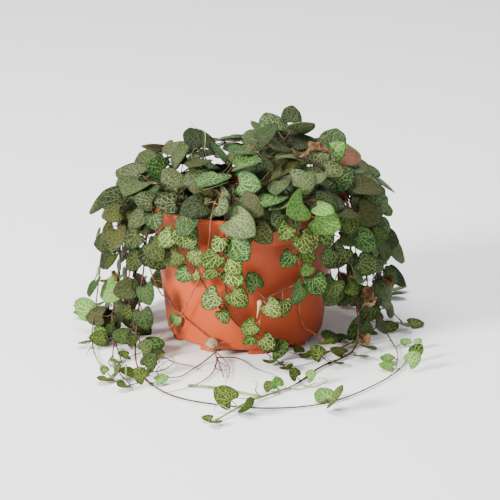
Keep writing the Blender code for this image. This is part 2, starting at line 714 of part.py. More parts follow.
def mesh_from(name, points, faces):
    """A mesh from points and faces, with the faces turned outwards."""
    mesh = bpy.data.meshes.new(name)
    shape = bmesh.new()
    corners = [shape.verts.new(point) for point in points]
    for face in faces:
        shape.faces.new([corners[k] for k in face])
    bmesh.ops.recalc_face_normals(shape, faces=shape.faces)
    shape.to_mesh(mesh)
    shape.free()
    return mesh


def turned(name, profile, sides, material, collection):
    """A solid turned about the Z axis from a profile of (radius, height) points."""
    points = [(radius, 0, height) for radius, height in profile]
    edges = [(k, k + 1) for k in range(len(points) - 1)]
    mesh = bpy.data.meshes.new(name)
    mesh.from_pydata(points, edges, [])
    piece = new_object(name, mesh, material, collection)
    screw = piece.modifiers.new("turn", "SCREW")
    screw.steps = sides
    screw.render_steps = sides
    screw.use_merge_vertices = True
    screw.merge_threshold = 0.00001
    return piece


def cylinder(name, radius, low, high, sides, place, material, collection):
    """An upright cylinder or prism between two heights."""
    mesh = bpy.data.meshes.new(name)
    shape = bmesh.new()
    bmesh.ops.create_cone(
        shape, cap_ends=True, segments=sides, radius1=radius, radius2=radius, depth=high - low)
    shape.to_mesh(mesh)
    shape.free()
    piece = new_object(name, mesh, material, collection)
    piece.location = (place.x, place.y, (low + high) / 2)
    return piece


def boolean(piece, operation, collection, solver="EXACT"):
    """Joins the collection's objects to a piece, or cuts them out of it."""
    change = piece.modifiers.new(operation.lower(), "BOOLEAN")
    change.operation = operation
    change.operand_type = "COLLECTION"
    change.collection = collection
    change.solver = solver


def apply_modifiers(piece):
    """Makes a piece's evaluated shape its own mesh."""
    bpy.context.view_layer.update()
    evaluated = piece.evaluated_get(bpy.context.evaluated_depsgraph_get())
    mesh = bpy.data.meshes.new_from_object(evaluated)
    piece.modifiers.clear()
    piece.data = mesh


def simplify(piece):
    """Merges faces that lie in one plane, and removes points that bend no edge."""
    shape = bmesh.new()
    shape.from_mesh(piece.data)
    bmesh.ops.dissolve_limit(shape, angle_limit=FLAT_ANGLE, verts=shape.verts, edges=shape.edges)
    bmesh.ops.triangulate(shape, faces=shape.faces)
    shape.to_mesh(piece.data)
    shape.free()


def empty_collection(collection):
    """Removes a collection and the objects in it."""
    for piece in list(collection.objects):
        bpy.data.objects.remove(piece)
    bpy.data.collections.remove(collection)


def new_collection(name):
    """A collection in the scene."""
    collection = bpy.data.collections.new(name)
    bpy.context.scene.collection.children.link(collection)
    return collection


def body_radius(height, inset):
    """The body's outer radius at a height, less an inset."""
    share = (height - FOOT_HEIGHT) / (POT_HEIGHT - COLLAR_HEIGHT - FOOT_HEIGHT)
    return mix(BASE_RADIUS, BODY_TOP_RADIUS, share) - inset


def pot_profile():
    """The pot's section: up the inside from the middle of its floor, and down the outside."""
    ledge = POT_HEIGHT - COLLAR_HEIGHT
    floor_top = FOOT_HEIGHT + WALL
    inner_corner = CORNER_RADIUS - WALL
    inside = [
        (0, floor_top),
        (body_radius(floor_top, WALL) - inner_corner, floor_top),
        (body_radius(floor_top + inner_corner, WALL), floor_top + inner_corner),
        (body_radius(ledge, WALL), ledge + WALL),
        (COLLAR_FOOT_RADIUS - WALL, ledge + WALL),
        (RIM_RADIUS - WALL, POT_HEIGHT),
    ]
    lip_radius = mix(RIM_RADIUS, COLLAR_FOOT_RADIUS, LIP_HEIGHT / COLLAR_HEIGHT)
    outside = [
        (RIM_RADIUS - 0.2 * WALL, POT_HEIGHT),
        (RIM_RADIUS, POT_HEIGHT - WALL / 3),
        (lip_radius, POT_HEIGHT - LIP_HEIGHT),
        (lip_radius - LIP_STEP, POT_HEIGHT - LIP_HEIGHT - LIP_STEP),
        (COLLAR_FOOT_RADIUS, ledge),
        (BODY_TOP_RADIUS, ledge),
    ]
    radius = body_radius(FOOT_HEIGHT + CORNER_RADIUS, CORNER_RADIUS)
    height = FOOT_HEIGHT + CORNER_RADIUS
    corner = []
    for step in range(CORNER_STEPS + 1):
        turn = math.radians(90 * step / CORNER_STEPS)
        corner.append((radius + CORNER_RADIUS * math.cos(turn), height - CORNER_RADIUS * math.sin(turn)))
    return [*inside, *outside, *corner, (0, FOOT_HEIGHT)]


def build_pot(material, collection):
    """The pot: a turned shell with feet under its edge and holes in its floor."""
    pot = turned("pot", pot_profile(), POT_SIDES, material, collection)
    feet = new_collection("pot_feet")
    for k in range(FOOT_COUNT):
        turn = FOOT_FIRST_DEG + 360 * k / FOOT_COUNT
        mesh = bpy.data.meshes.new("foot")
        shape = bmesh.new()
        bmesh.ops.create_cube(shape, size=1)
        height = FOOT_HEIGHT + WALL / 2
        bmesh.ops.scale(shape, vec=(*FOOT_SIZE, height), verts=shape.verts)
        shape.to_mesh(mesh)
        shape.free()
        foot = new_object(f"foot_{k}", mesh, material, feet)
        foot.location = at(turn, FOOT_RADIUS / MM, height / 2 / MM)
        foot.rotation_euler.z = math.radians(turn)
    holes = new_collection("pot_holes")
    for k in range(DRAIN_COUNT):
        place = at(360 * k / DRAIN_COUNT, DRAIN_RING / MM, 0)
        low, high = FOOT_HEIGHT - WALL, FOOT_HEIGHT + 2 * WALL
        cylinder(f"drain_{k}", DRAIN_RADIUS, low, high, DRAIN_SIDES, place, material, holes)
    boolean(pot, "UNION", feet)
    boolean(pot, "DIFFERENCE", holes)
    apply_modifiers(pot)
    empty_collection(feet)
    empty_collection(holes)
    pot.data.shade_smooth()
    pot.data.set_sharp_from_angle(angle=math.radians(30))
    return pot


def build_soil(roots, material, collection):
    """The soil: a tapered plug that fills the pot, with a hole for each stem."""
    low = FOOT_HEIGHT + WALL + FIT
    ledge = POT_HEIGHT - COLLAR_HEIGHT + WALL + FIT
    edge = SOIL_TOP - SOIL_EDGE_DROP
    collar_inside = mix(COLLAR_FOOT_RADIUS, RIM_RADIUS, (edge - ledge) / COLLAR_HEIGHT) - WALL - FIT
    foot = body_radius(low, WALL + FIT) - CORNER_RADIUS
    profile = [
        (0, SOIL_TOP),
        (collar_inside * 0.8, SOIL_TOP),
        (collar_inside, edge),
        (COLLAR_FOOT_RADIUS - WALL - 2 * FIT, ledge),
        (body_radius(ledge, WALL + FIT) - FIT, ledge),
        (body_radius(low + CORNER_RADIUS, WALL + FIT), low + CORNER_RADIUS),
        (foot, low),
        (0, low),
    ]
    soil = turned("soil", profile, SOIL_SIDES, material, collection)
    holes = new_collection("stem_holes")
    for name, root in roots.items():
        low = SOIL_TOP - ROOT_DEPTH - FIT
        cylinder(f"hole_{name}", STEM_HOLE_RADIUS, low, SOIL_TOP + ROOT_DEPTH, STEM_HOLE_SIDES,
                 root, material, holes)
    boolean(soil, "DIFFERENCE", holes)
    apply_modifiers(soil)
    empty_collection(holes)
    return soil


def tube_along(name, route, radius, material, collection):
    """A few-sided closed tube along a route."""
    section = bpy.data.curves.new("section", "CURVE")
    ring = section.splines.new("POLY")
    ring.points.add(STEM_SIDES - 1)
    ring.use_cyclic_u = True
    for k in range(STEM_SIDES):
        turn = math.tau * k / STEM_SIDES
        ring.points[k].co = (radius * math.cos(turn), radius * math.sin(turn), 0, 1)
    section_piece = bpy.data.objects.new("section", section)
    curve = bpy.data.curves.new(name, "CURVE")
    curve.dimensions = "3D"
    curve.bevel_mode = "OBJECT"
    curve.bevel_object = section_piece
    curve.use_fill_caps = True
    line = curve.splines.new("POLY")
    line.points.add(len(route) - 1)
    for k, point in enumerate(route):
        line.points[k].co = (*point, 1)
    curve_piece = bpy.data.objects.new(name + "_line", curve)
    collection.objects.link(curve_piece)
    bpy.context.view_layer.update()
    evaluated = curve_piece.evaluated_get(bpy.context.evaluated_depsgraph_get())
    mesh = bpy.data.meshes.new_from_object(evaluated)
    bpy.data.objects.remove(curve_piece)
    bpy.data.objects.remove(section_piece)
    shape = bmesh.new()
    shape.from_mesh(mesh)
    bmesh.ops.remove_doubles(shape, verts=shape.verts, dist=0.00001)
    bmesh.ops.recalc_face_normals(shape, faces=shape.faces)
    shape.to_mesh(mesh)
    shape.free()
    return new_object(name, mesh, material, collection)


def tuber(name, centre, radius, material, collection):
    """A bead-like tuber, a little flatter than a ball."""
    mesh = bpy.data.meshes.new(name)
    shape = bmesh.new()
    bmesh.ops.create_icosphere(shape, subdivisions=1, radius=radius)
    bmesh.ops.scale(shape, vec=(1, 1, TUBER_FLATNESS), verts=shape.verts)
    shape.to_mesh(mesh)
    shape.free()
    ball = new_object(name, mesh, material, collection)
    ball.location = centre
    return ball


def bud(name, start, end, material, collection):
    """A pointed bud between two places, its broad end in the stem."""
    mesh = bpy.data.meshes.new(name)
    shape = bmesh.new()
    span = end - start
    bmesh.ops.create_cone(
        shape, cap_ends=True, segments=BUD_SIDES, radius1=BUD_RADIUS, radius2=FIT, depth=span.length)
    shape.to_mesh(mesh)
    shape.free()
    spike = new_object(name, mesh, material, collection)
    spike.location = (start + end) / 2
    spike.rotation_euler = span.to_track_quat("Z", "Y").to_euler()
    return spike


def build_stem(name, route, leaves, material, collection):
    """A stem with its leaves, branches, tubers and buds grown on it, joined into one body."""
    stem = tube_along(name, route, STEM_RADIUS, material, collection)
    grown = new_collection(name + "_growth")
    for k, leaf in enumerate(leaves):
        points, faces = placed_leaf(leaf)
        new_object(f"{name}_leaf_{k}", mesh_from("leaf", points, faces), material, grown)
    for k, line in enumerate(branch_routes(name, route)):
        tube_along(f"{name}_branch_{k}", line, BRANCH_RADIUS, material, grown)
    for k, (centre, radius) in enumerate(tuber_balls(name, route)):
        tuber(f"{name}_tuber_{k}", centre, radius, material, grown)
    for k, (start, end) in enumerate(bud_ends(name, route)):
        bud(f"{name}_bud_{k}", start, end, material, grown)
    boolean(stem, "UNION", grown, "MANIFOLD")
    apply_modifiers(stem)
    simplify(stem)
    empty_collection(grown)
    return stem


def tree_of(piece):
    """A search tree of a piece's faces."""
    corners = [piece.matrix_world @ vertex.co for vertex in piece.data.vertices]
    return BVHTree.FromPolygons(corners, [face.vertices for face in piece.data.polygons])


def main():
    """Clears the scene and builds the potted plant."""
    for piece in list(bpy.data.objects):
        bpy.data.objects.remove(piece)
    parts = new_collection("potted_string_of_hearts")
    plastic = new_material("pot_plastic", (0.62, 0.14, 0.055), 0.5)
    earth = new_material("soil", (0.045, 0.03, 0.02), 0.95)
    green = new_material("leaf", (0.14, 0.22, 0.09), 0.5)
    pot = build_pot(plastic, parts)
    routes = keep_apart(stem_routes())
    roots = {name: route[0] for name, route in routes.items()}
    build_soil(roots, earth, parts)
    leaves = grow_leaves(routes, tree_of(pot))
    for name, route in routes.items():
        build_stem(name, route, leaves[name], green, parts)


main()
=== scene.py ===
# %% [markdown]
# # A potted string of hearts
#
# A string of hearts (Ceropegia woodii) is a small trailing succulent. Pairs of fleshy heart-shaped
# leaves sit on thread-like stems, and a pale net of veins marbles their green upper sides. Here it
# mounds over the rim of a round plastic nursery pot, hangs down around it, and runs on along the
# surface that the pot stands on. The engineering model of pot, soil and stems is already packed, so
# this lesson loads it as a fixed frame and dresses it. Everything is in metres, with +Z up and -Y
# towards the front of the plant.

import json
import math
import random

import bmesh
import bpy
import numpy as np
from mathutils import Matrix, Vector, noise
from mathutils.bvhtree import BVHTree
from mathutils.kdtree import KDTree

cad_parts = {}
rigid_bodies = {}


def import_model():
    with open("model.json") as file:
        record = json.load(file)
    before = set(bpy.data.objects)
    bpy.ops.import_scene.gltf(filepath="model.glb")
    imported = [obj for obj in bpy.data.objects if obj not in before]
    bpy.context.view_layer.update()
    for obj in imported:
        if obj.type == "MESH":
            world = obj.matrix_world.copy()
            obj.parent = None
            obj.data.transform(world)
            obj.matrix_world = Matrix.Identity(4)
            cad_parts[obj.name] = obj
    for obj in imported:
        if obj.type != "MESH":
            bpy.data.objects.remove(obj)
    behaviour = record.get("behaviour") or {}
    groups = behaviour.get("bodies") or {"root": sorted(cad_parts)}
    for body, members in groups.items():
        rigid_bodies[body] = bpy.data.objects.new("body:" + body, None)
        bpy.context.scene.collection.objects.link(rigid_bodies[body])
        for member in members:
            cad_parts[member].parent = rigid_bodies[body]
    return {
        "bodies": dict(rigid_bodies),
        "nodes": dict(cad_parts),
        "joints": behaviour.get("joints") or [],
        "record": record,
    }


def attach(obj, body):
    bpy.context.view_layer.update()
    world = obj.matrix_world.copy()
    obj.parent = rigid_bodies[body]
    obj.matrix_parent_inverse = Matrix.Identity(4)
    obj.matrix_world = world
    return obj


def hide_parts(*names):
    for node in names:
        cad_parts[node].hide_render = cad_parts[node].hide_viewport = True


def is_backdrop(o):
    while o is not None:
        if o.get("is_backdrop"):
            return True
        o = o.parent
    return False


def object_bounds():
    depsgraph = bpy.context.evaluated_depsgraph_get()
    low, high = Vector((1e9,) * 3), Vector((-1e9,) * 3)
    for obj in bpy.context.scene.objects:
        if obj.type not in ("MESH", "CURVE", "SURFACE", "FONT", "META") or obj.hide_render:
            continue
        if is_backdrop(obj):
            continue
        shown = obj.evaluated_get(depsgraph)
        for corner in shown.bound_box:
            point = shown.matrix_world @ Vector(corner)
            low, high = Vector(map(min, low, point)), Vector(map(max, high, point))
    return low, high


MM = 0.001
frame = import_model()
cad_box = [list(corner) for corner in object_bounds()]
print("nodes in the frame:", len(frame["nodes"]))
print("size of the model in mm:", [round((high - low) / MM) for low, high in zip(*cad_box)])

# %% [markdown]
# ## The camera
#
# A small product is usually photographed from some way back with a long lens, so the near and the
# far side of the rim look almost the same width. The camera could be aimed by eye, but it is worked
# out here: it stands 1.6 m away, 17 degrees above the surface, and its lens is just long enough
# that one pixel of a 500 pixel frame covers 0.588 mm at the pot's axis. With that, the rim is 204
# pixels wide.

# %% Place the camera
CAMERA_DISTANCE = 1.600
CAMERA_RISE = math.radians(17)
CAMERA_AIM = Vector((0.00294, 0, 0.050))
FRAME_PIXELS = 500
PIXEL_SIZE = 0.000588

camera_data = bpy.data.cameras.new("photo_camera")
frame_width = FRAME_PIXELS * PIXEL_SIZE
camera_data.lens = camera_data.sensor_width * CAMERA_DISTANCE / frame_width
camera = bpy.data.objects.new("photo_camera", camera_data)
towards_camera = Vector((0, -math.cos(CAMERA_RISE), math.sin(CAMERA_RISE)))
camera.location = CAMERA_AIM + CAMERA_DISTANCE * towards_camera
camera.rotation_euler = (math.radians(90) - CAMERA_RISE, 0, 0)
bpy.context.scene.collection.objects.link(camera)
bpy.context.scene.camera = camera
print("lens in mm:", round(camera_data.lens, 1))

# %% [markdown]
# ## Where the stems run
#
# The engineering model grew its stems and leaves by a rule, and the fine ones made here have to lie
# in exactly the same places. Reading the points back from the packed mesh would lose what each leaf
# is, so this lesson repeats the rule instead, with the same sizes and the same seeds. It begins
# with the pot and the routes of the stems. A place on a route is an azimuth in degrees from the
# front towards +X, a radius and a height, the last two in millimetres.

# %% Sizes of the pot, the soil and the stems
POT_HEIGHT = 0.085
RIM_RADIUS = 0.060
LIP_HEIGHT = 0.0025
LIP_STEP = 0.0007
COLLAR_HEIGHT = 0.016
COLLAR_FOOT_RADIUS = 0.0572
BODY_TOP_RADIUS = 0.0538
BASE_RADIUS = 0.0455
CORNER_RADIUS = 0.004
WALL = 0.0014
FOOT_HEIGHT = 0.0025

SOIL_TOP = 0.077
SOIL_CLEARANCE = 0.002
FIT = 0.0003

STEM_RADIUS = 0.0009
STEM_STEP = 0.0140
LOOSE_STEM_STEP = 0.0240
STEM_HOLE_RADIUS = 0.00175
ROOT_DEPTH = 0.008
ROOT_SPACING = 0.0065
ROOT_RING = (0.016, 0.046)
STEM_CLEARANCE = 0.0033
PUSH_SHARE = 0.6
PUSH_BESIDE = 0.4
SAMPLE_SHARE = 0.25
RELAX_ROUNDS = 60
FLOOR_LIFT = 0.0009

# How a stem leaves the pot, in millimetres, for one rooted in the middle and one at the rim: the
# rise of its crest above the rim, then the radius and rise of its shoulder outside the rim
CREST_RISE = (23, 8)
CREST_REACH = (0.55, 26.8)
SHOULDER_RADIUS = (66, 61)
SHOULDER_RISE = (13, 4)
print("the pot is", round(2000 * RIM_RADIUS), "mm wide and", round(1000 * POT_HEIGHT), "mm high")

# %% Routes of the stems
# Each stem: azimuth where it leaves the mound, how near the rim it is rooted (0 in the middle, 1 at
# the rim), its habit, and the rest of its route
STEMS = {
    "front_left": (-36, 0.9, None, [
        (-36, 65, 85), (-33, 62, 71), (-31, 59, 56), (-25, 57, 46), (-15, 54, 31), (-5, 53, 20),
        (6, 53, 11), (14, 57, 2), (19, 69, 1)]),
    "front_cluster": (-11, 0.75, None, [
        (-10, 68, 89), (-9, 66, 76), (-12, 64, 64), (-12, 62, 54), (-10, 60, 44), (-9, 58, 34)]),
    "front_crossing": (-17, 0.5, None, [
        (-16, 72, 90), (-17, 66, 70), (-22, 60, 56), (-30, 56, 42), (-40, 53, 27), (-51, 56, 12),
        (-57, 66, 2), (-61, 76, 1)]),
    "front_middle": (4, 0.95, None, [(3, 66, 86), (2, 63, 75)]),
    "front_pink": (29, 0.8, None, [
        (32, 66, 87), (39, 62, 73), (44, 60, 60), (38, 57, 48), (29, 57, 41), (19, 58, 41),
        (9, 58, 43), (9, 57, 34), (11, 55, 26), (8, 53, 15)]),
    "front_right": (22, 0.6, None, [
        (23, 70, 89), (26, 64, 74), (32, 60, 62), (35, 57, 48), (37, 55, 34), (38, 53, 21),
        (46, 53, 10), (56, 58, 2), (68, 65, 1)]),
    "front_long": (-52, 0.7, None, [
        (-52, 69, 87), (-54, 70, 68), (-57, 69, 50), (-60, 70, 32), (-61, 72, 14), (-57, 76, 2),
        (-45, 88, 1), (-32, 105, 1), (-19, 124, 1), (-9, 129, 1), (1, 135, 1), (10, 137, 1),
        (21, 135, 1), (38, 121, 1), (49, 115, 1), (60, 108, 1), (72, 101, 1)]),
    "left_to_front": (-74, 0.95, None, [
        (-78, 63, 80), (-80, 60, 60), (-76, 57, 40), (-64, 54, 26), (-49, 53, 22), (-34, 53, 16),
        (-21, 54, 8), (-14, 61, 1), (-11, 72, 1), (-8, 85, 1)]),
    "left_outer": (-92, 0.35, "slender", [
        (-92, 75, 91), (-91, 81, 77), (-90, 84, 60), (-90, 85, 40), (-89, 87, 22), (-88, 89, 6),
        (-80, 93, 1), (-66, 97, 1), (-52, 105, 1), (-41, 114, 1)]),
    "left_front": (-80, 0.6, "leafy", [
        (-80, 69, 85), (-79, 74, 70), (-81, 74, 50), (-78, 76, 30), (-80, 79, 12), (-84, 85, 2),
        (-74, 81, 1), (-62, 80, 1), (-51, 91, 1)]),
    "left_near": (-71, 0.85, "leafy", [
        (-72, 70, 85), (-74, 73, 66), (-74, 72, 46), (-74, 71, 28), (-70, 71, 11), (-60, 74, 1),
        (-49, 74, 1)]),
    "left_far": (-101, 0.7, "leafy", [
        (-100, 69, 85), (-99, 73, 68), (-102, 74, 48), (-100, 75, 28), (-98, 78, 10), (-101, 86, 1),
        (-108, 94, 1), (-112, 101, 1)]),
    "left_inner": (-87, 0.9, "leafy", [
        (-87, 67, 83), (-88, 68, 65), (-86, 66, 47), (-89, 68, 30), (-86, 70, 15), (-78, 75, 5),
        (-69, 82, 5), (-58, 92, 1), (-47, 102, 1), (-33, 117, 1)]),
    "left_back": (-112, 0.85, "sparse", [
        (-110, 68, 84), (-112, 70, 64), (-110, 69, 44), (-114, 71, 24), (-118, 77, 4),
        (-128, 92, 1), (-137, 112, 1)]),
    "left_top": (-74, 0.3, "leafy", [(-75, 72, 86), (-76, 77, 74), (-75, 77, 62), (-77, 76, 52)]),
    "left_rear": (-122, 0.55, "sparse", [
        (-123, 70, 86), (-124, 75, 68), (-122, 74, 50), (-125, 73, 38)]),
    "right_front": (62, 0.75, None, [
        (62, 68, 87), (64, 68, 70), (63, 68, 50), (66, 70, 32), (64, 74, 13), (58, 79, 2),
        (48, 78, 1), (38, 76, 1), (28, 83, 1), (21, 94, 1), (13, 108, 1), (5, 116, 1), (-1, 138, 4),
        (-4, 149, 1), (-6, 156, 1)]),
    "right_near": (76, 0.85, "leafy", [
        (75, 68, 85), (76, 71, 70), (75, 72, 53), (78, 73, 36), (75, 75, 18), (73, 79, 3),
        (66, 77, 1), (56, 71, 1), (45, 62, 1), (34, 56, 1)]),
    "right_middle": (88, 0.5, "leafy", [
        (88, 69, 86), (89, 76, 72), (87, 79, 56), (90, 79, 38), (88, 79, 19), (91, 76, 3),
        (86, 77, 1), (80, 86, 1), (71, 96, 1), (60, 104, 1), (53, 108, 1)]),
    "right_far": (101, 0.7, "leafy", [
        (100, 68, 85), (101, 73, 69), (99, 76, 50), (102, 76, 31), (99, 79, 13), (97, 86, 2),
        (93, 96, 1)]),
    "right_back": (113, 0.85, "sparse", [
        (112, 69, 85), (114, 72, 65), (111, 71, 45), (115, 73, 24), (118, 79, 4), (124, 96, 1),
        (130, 116, 1)]),
    "right_top": (69, 0.4, "leafy", [(68, 69, 86), (70, 75, 74), (69, 77, 64), (71, 76, 54)]),
    "right_outer": (95, 0.3, "leafy", [
        (94, 70, 87), (95, 79, 73), (93, 84, 57), (96, 83, 41), (94, 82, 28)]),
    "right_short": (50, 0.9, "leafy", [(51, 66, 85), (52, 66, 68), (54, 65, 52), (57, 66, 40)]),
    "back_right": (131, 0.8, "sparse", [
        (132, 68, 86), (134, 70, 66), (131, 68, 45), (135, 71, 23), (138, 78, 3), (141, 97, 1),
        (146, 121, 1)]),
    "back_long": (161, 0.85, "slender", [
        (161, 67, 85), (162, 69, 64), (160, 67, 43), (163, 69, 21), (166, 78, 2), (168, 100, 1),
        (172, 130, 1), (176, 155, 1)]),
    "back_middle": (175, 0.6, "sparse", [
        (175, 73, 87), (176, 77, 69), (174, 75, 50), (177, 74, 36)]),
    "back_left": (189, 0.85, "sparse", [
        (188, 67, 85), (187, 69, 63), (190, 67, 42), (188, 70, 18), (191, 80, 2), (197, 104, 1),
        (203, 130, 1)]),
    "back_side": (217, 0.85, "sparse", [
        (216, 67, 85), (214, 70, 64), (217, 68, 44), (214, 72, 22), (212, 80, 3), (216, 101, 1),
        (223, 123, 1)]),
}
# Side branches, bead-like tubers and pointed buds: they start on the stem at the place nearest to
# their first one
BRANCHES = {"right_front": [(3, 118, 1), (-3, 108, 1), (-10, 103, 1), (-18, 103, 1)]}
TUBERS = {
    "left_near": [((-50, 63, 97), 4.5)],
    "left_to_front": [((-21, 54, 9), 9.0)],
    "right_near": [((76, 73, 24), 10.0)],
    "right_middle": [((89, 79, 60), 5.0)],
    "back_middle": [((175, 75, 50), 6.0)],
}
BUDS = {"front_pink": [((7, 58, 38), (5, 58, 27))], "left_front": [((-80, 75, 58), (-84, 79, 49))]}
TUBER_FLATNESS = 0.85
TUBER_ROOM = 1.15
BUD_RADIUS = 0.0016

# Stems of the mound: whole route, from the soil to the tip
CROWN_STEMS = {
    "crown_right": [(200, 18), (180, 14, 104), (95, 18, 118), (62, 34, 117), (56, 52, 107)],
    "crown_left": [(20, 12), (-30, 14, 102), (-72, 27, 110), (-90, 43, 106), (-96, 57, 95)],
    "crown_back": [(120, 22), (140, 22, 103), (176, 25, 111), (200, 40, 107), (206, 58, 98)],
    "crown_front": [(-60, 24), (-45, 24, 100), (-22, 32, 112), (-10, 46, 107), (-6, 60, 96)],
    "crown_right_back": [(80, 28), (84, 34, 102), (98, 50, 109), (108, 66, 101), (113, 76, 91)],
    "crown_left_back": [(-135, 26), (-132, 34, 101), (-126, 50, 104), (-122, 67, 94)],
    "crown_left_front": [(-30, 34), (-34, 42, 96), (-42, 55, 98), (-48, 68, 90)],
    "crown_right_front": [(45, 34), (42, 42, 99), (36, 55, 103), (33, 68, 94)],
    "crown_back_right": [(150, 34), (152, 42, 100), (150, 58, 104), (148, 72, 95)],
    "crown_tall": [(60, 10), (75, 13, 104), (92, 16, 114), (106, 20, 120), (103, 28, 122)],
    "crown_front_inner": [(15, 26), (16, 28, 98), (22, 36, 108), (26, 50, 106), (27, 62, 98)],
    "crown_middle": [(-25, 16), (-25, 17, 98), (-40, 15, 109), (0, 13, 115), (30, 31, 114)],
}

# Stems whose leaves follow no even spacing: distance from the root and length of the blade, in
# millimetres, of each pair, or of the one leaf on the side that a third value gives
LEAF_PAIRS = {
    "front_left": [(22, 16), (34, 15), (45, 13), (58, 12), (74, 10), (95, 10, -1), (142, 10),
                   (158, 10)],
    "front_cluster": [(22, 16), (34, 16), (47, 15), (58, 14), (69, 13), (80, 12), (91, 11)],
    "front_crossing": [(24, 16), (38, 15), (53, 14), (176, 10)],
    "front_middle": [(20, 16), (32, 15), (44, 13)],
    "front_pink": [(20, 16), (33, 16), (46, 14), (59, 12), (80, 8, 1), (93, 14), (110, 10, -1),
                   (126, 11), (143, 9, 1), (155, 9)],
    "front_right": [(20, 16), (33, 16), (46, 14), (59, 12), (80, 11), (151, 10), (178, 10)],
    "front_long": [(24, 15), (38, 15), (52, 13), (67, 12), (82, 12), (98, 11), (115, 11), (133, 10),
                   (150, 10), (178, 10), (197, 9), (316, 12), (385, 9), (400, 9), (434, 7)],
    "left_to_front": [(22, 15), (35, 15), (49, 13), (68, 11), (120, 9, 1)],
    "right_front": [(22, 16), (37, 16), (52, 14), (68, 17), (86, 14), (104, 13), (124, 12),
                    (146, 10), (167, 9), (199, 8), (224, 8), (262, 11), (284, 8)],
}
print("stems over the rim:", len(STEMS), "and stems of the mound:", len(CROWN_STEMS))

# %% Points and smooth curves
def at(azimuth, radius, height):
    """The point at an azimuth in degrees, and a radius and height in millimetres."""
    turn = math.radians(azimuth)
    return Vector((radius * math.sin(turn), -radius * math.cos(turn), height)) * MM


def mix(low, high, share):
    """The value that lies a share of the way from low to high."""
    return low + (high - low) * share


def ease(value, low, high):
    """0 below low, 1 above high, and smooth between them."""
    share = min(1.0, max(0.0, (value - low) / (high - low)))
    return share * share * (3 - 2 * share)


def smooth_curve(points, per_span=12):
    """Points along a smooth curve that passes through the given ones."""
    ends = [2 * points[0] - points[1], *points, 2 * points[-1] - points[-2]]
    curve = []
    for a, b, c, d in zip(ends, ends[1:], ends[2:], ends[3:]):
        for k in range(per_span):
            t = k / per_span
            cubic = (3 * b - a - 3 * c + d) * t**3
            curve.append(0.5 * (2 * b + (c - a) * t + (2 * a - 5 * b + 4 * c - d) * t**2 + cubic))
    return [*curve, points[-1]]


def lengths_along(points):
    """The distance of each point from the first, along the line."""
    total = [0.0]
    for a, b in zip(points, points[1:]):
        total.append(total[-1] + (b - a).length)
    return total


def point_along(points, distance):
    """The point at a distance along a line, and the line's direction there."""
    total = lengths_along(points)
    distance = min(max(distance, 0.0), total[-1])
    k = 0
    while k < len(points) - 2 and total[k + 1] < distance:
        k += 1
    span = points[k + 1] - points[k]
    return points[k] + span * ((distance - total[k]) / span.length), span.normalized()


print("a stem at the front, halfway up the pot:", at(0, 60, 42))

# %% From roots to tips
def root_places():
    """Where each stem comes out of the soil: near its own azimuth, and clear of the others."""
    places = {}
    for name, (azimuth, outer, _, _) in STEMS.items():
        places[name] = at(azimuth, mix(*ROOT_RING, outer) / MM, 0)
    for name, route in CROWN_STEMS.items():
        places[name] = at(*route[0], 0)
    names = list(places)
    for _ in range(RELAX_ROUNDS):
        for first in names:
            for second in names:
                apart = places[first] - places[second]
                if first != second and apart.length < ROOT_SPACING:
                    push = apart.normalized() * (ROOT_SPACING - apart.length) / 2
                    places[first] += push
                    places[second] -= push
        for name in names:
            if places[name].length > ROOT_RING[1]:
                places[name] *= ROOT_RING[1] / places[name].length
    return places


def stem_routes():
    """Each stem as a line of even steps: up from its root, over the rim, and on along its route."""
    rim = POT_HEIGHT / MM
    routes = {}
    for name, root in root_places().items():
        foot = root + Vector((0, 0, SOIL_TOP - ROOT_DEPTH))
        neck = root + Vector((0, 0, SOIL_TOP + STEM_HOLE_RADIUS))
        if name in STEMS:
            azimuth, outer, _, rest = STEMS[name]
            share, reach = CREST_REACH
            crest = (azimuth, share * root.length / MM + reach, rim + mix(*CREST_RISE, outer))
            shoulder = (azimuth, mix(*SHOULDER_RADIUS, outer), rim + mix(*SHOULDER_RISE, outer))
            places = [crest, shoulder, *rest]
        else:
            places = CROWN_STEMS[name][1:]
        points = smooth_curve([neck, *(at(*place) for place in places)])
        length = lengths_along(points)[-1]
        steps = round(length / (STEM_STEP if name in LEAF_PAIRS else LOOSE_STEM_STEP))
        even = [point_along(points, length * k / steps)[0] for k in range(steps + 1)]
        routes[name] = [foot, *even]
    return routes


def pot_radius_outside(height):
    """The pot's outer radius at a height."""
    ledge = POT_HEIGHT - COLLAR_HEIGHT
    if height > ledge:
        return mix(COLLAR_FOOT_RADIUS, RIM_RADIUS, (height - ledge) / COLLAR_HEIGHT)
    return mix(BASE_RADIUS, BODY_TOP_RADIUS, max(height, 0) / ledge)


def clear_of_pot(point):
    """The point moved off the pot's wall and rim, and up to the surface that the pot stands on."""
    room = STEM_RADIUS + 2 * FIT
    out = Vector((point.x, point.y, 0))
    if out.length > RIM_RADIUS - 5 * WALL and point.z < POT_HEIGHT + room:
        if point.z > POT_HEIGHT - 2 * WALL and out.length < RIM_RADIUS:
            point.z = POT_HEIGHT + room
        else:
            least = pot_radius_outside(point.z) + room
            if out.length < least:
                point += out.normalized() * (least - out.length)
    elif out.length > BASE_RADIUS - 3 * WALL and point.z < SOIL_TOP:
        point += out.normalized() * (pot_radius_outside(point.z) + room - out.length)
    point.z = max(point.z, FLOOR_LIFT)
    return point


def samples_of(route):
    """Points close together along a route's straight steps, past the part in the soil."""
    steps = range(1, len(route) - 1)
    shares = [SAMPLE_SHARE * k for k in range(round(1 / SAMPLE_SHARE))]
    found = [(k, share, route[k].lerp(route[k + 1], share)) for k in steps for share in shares]
    return [*found, (len(route) - 2, 1.0, route[-1])]


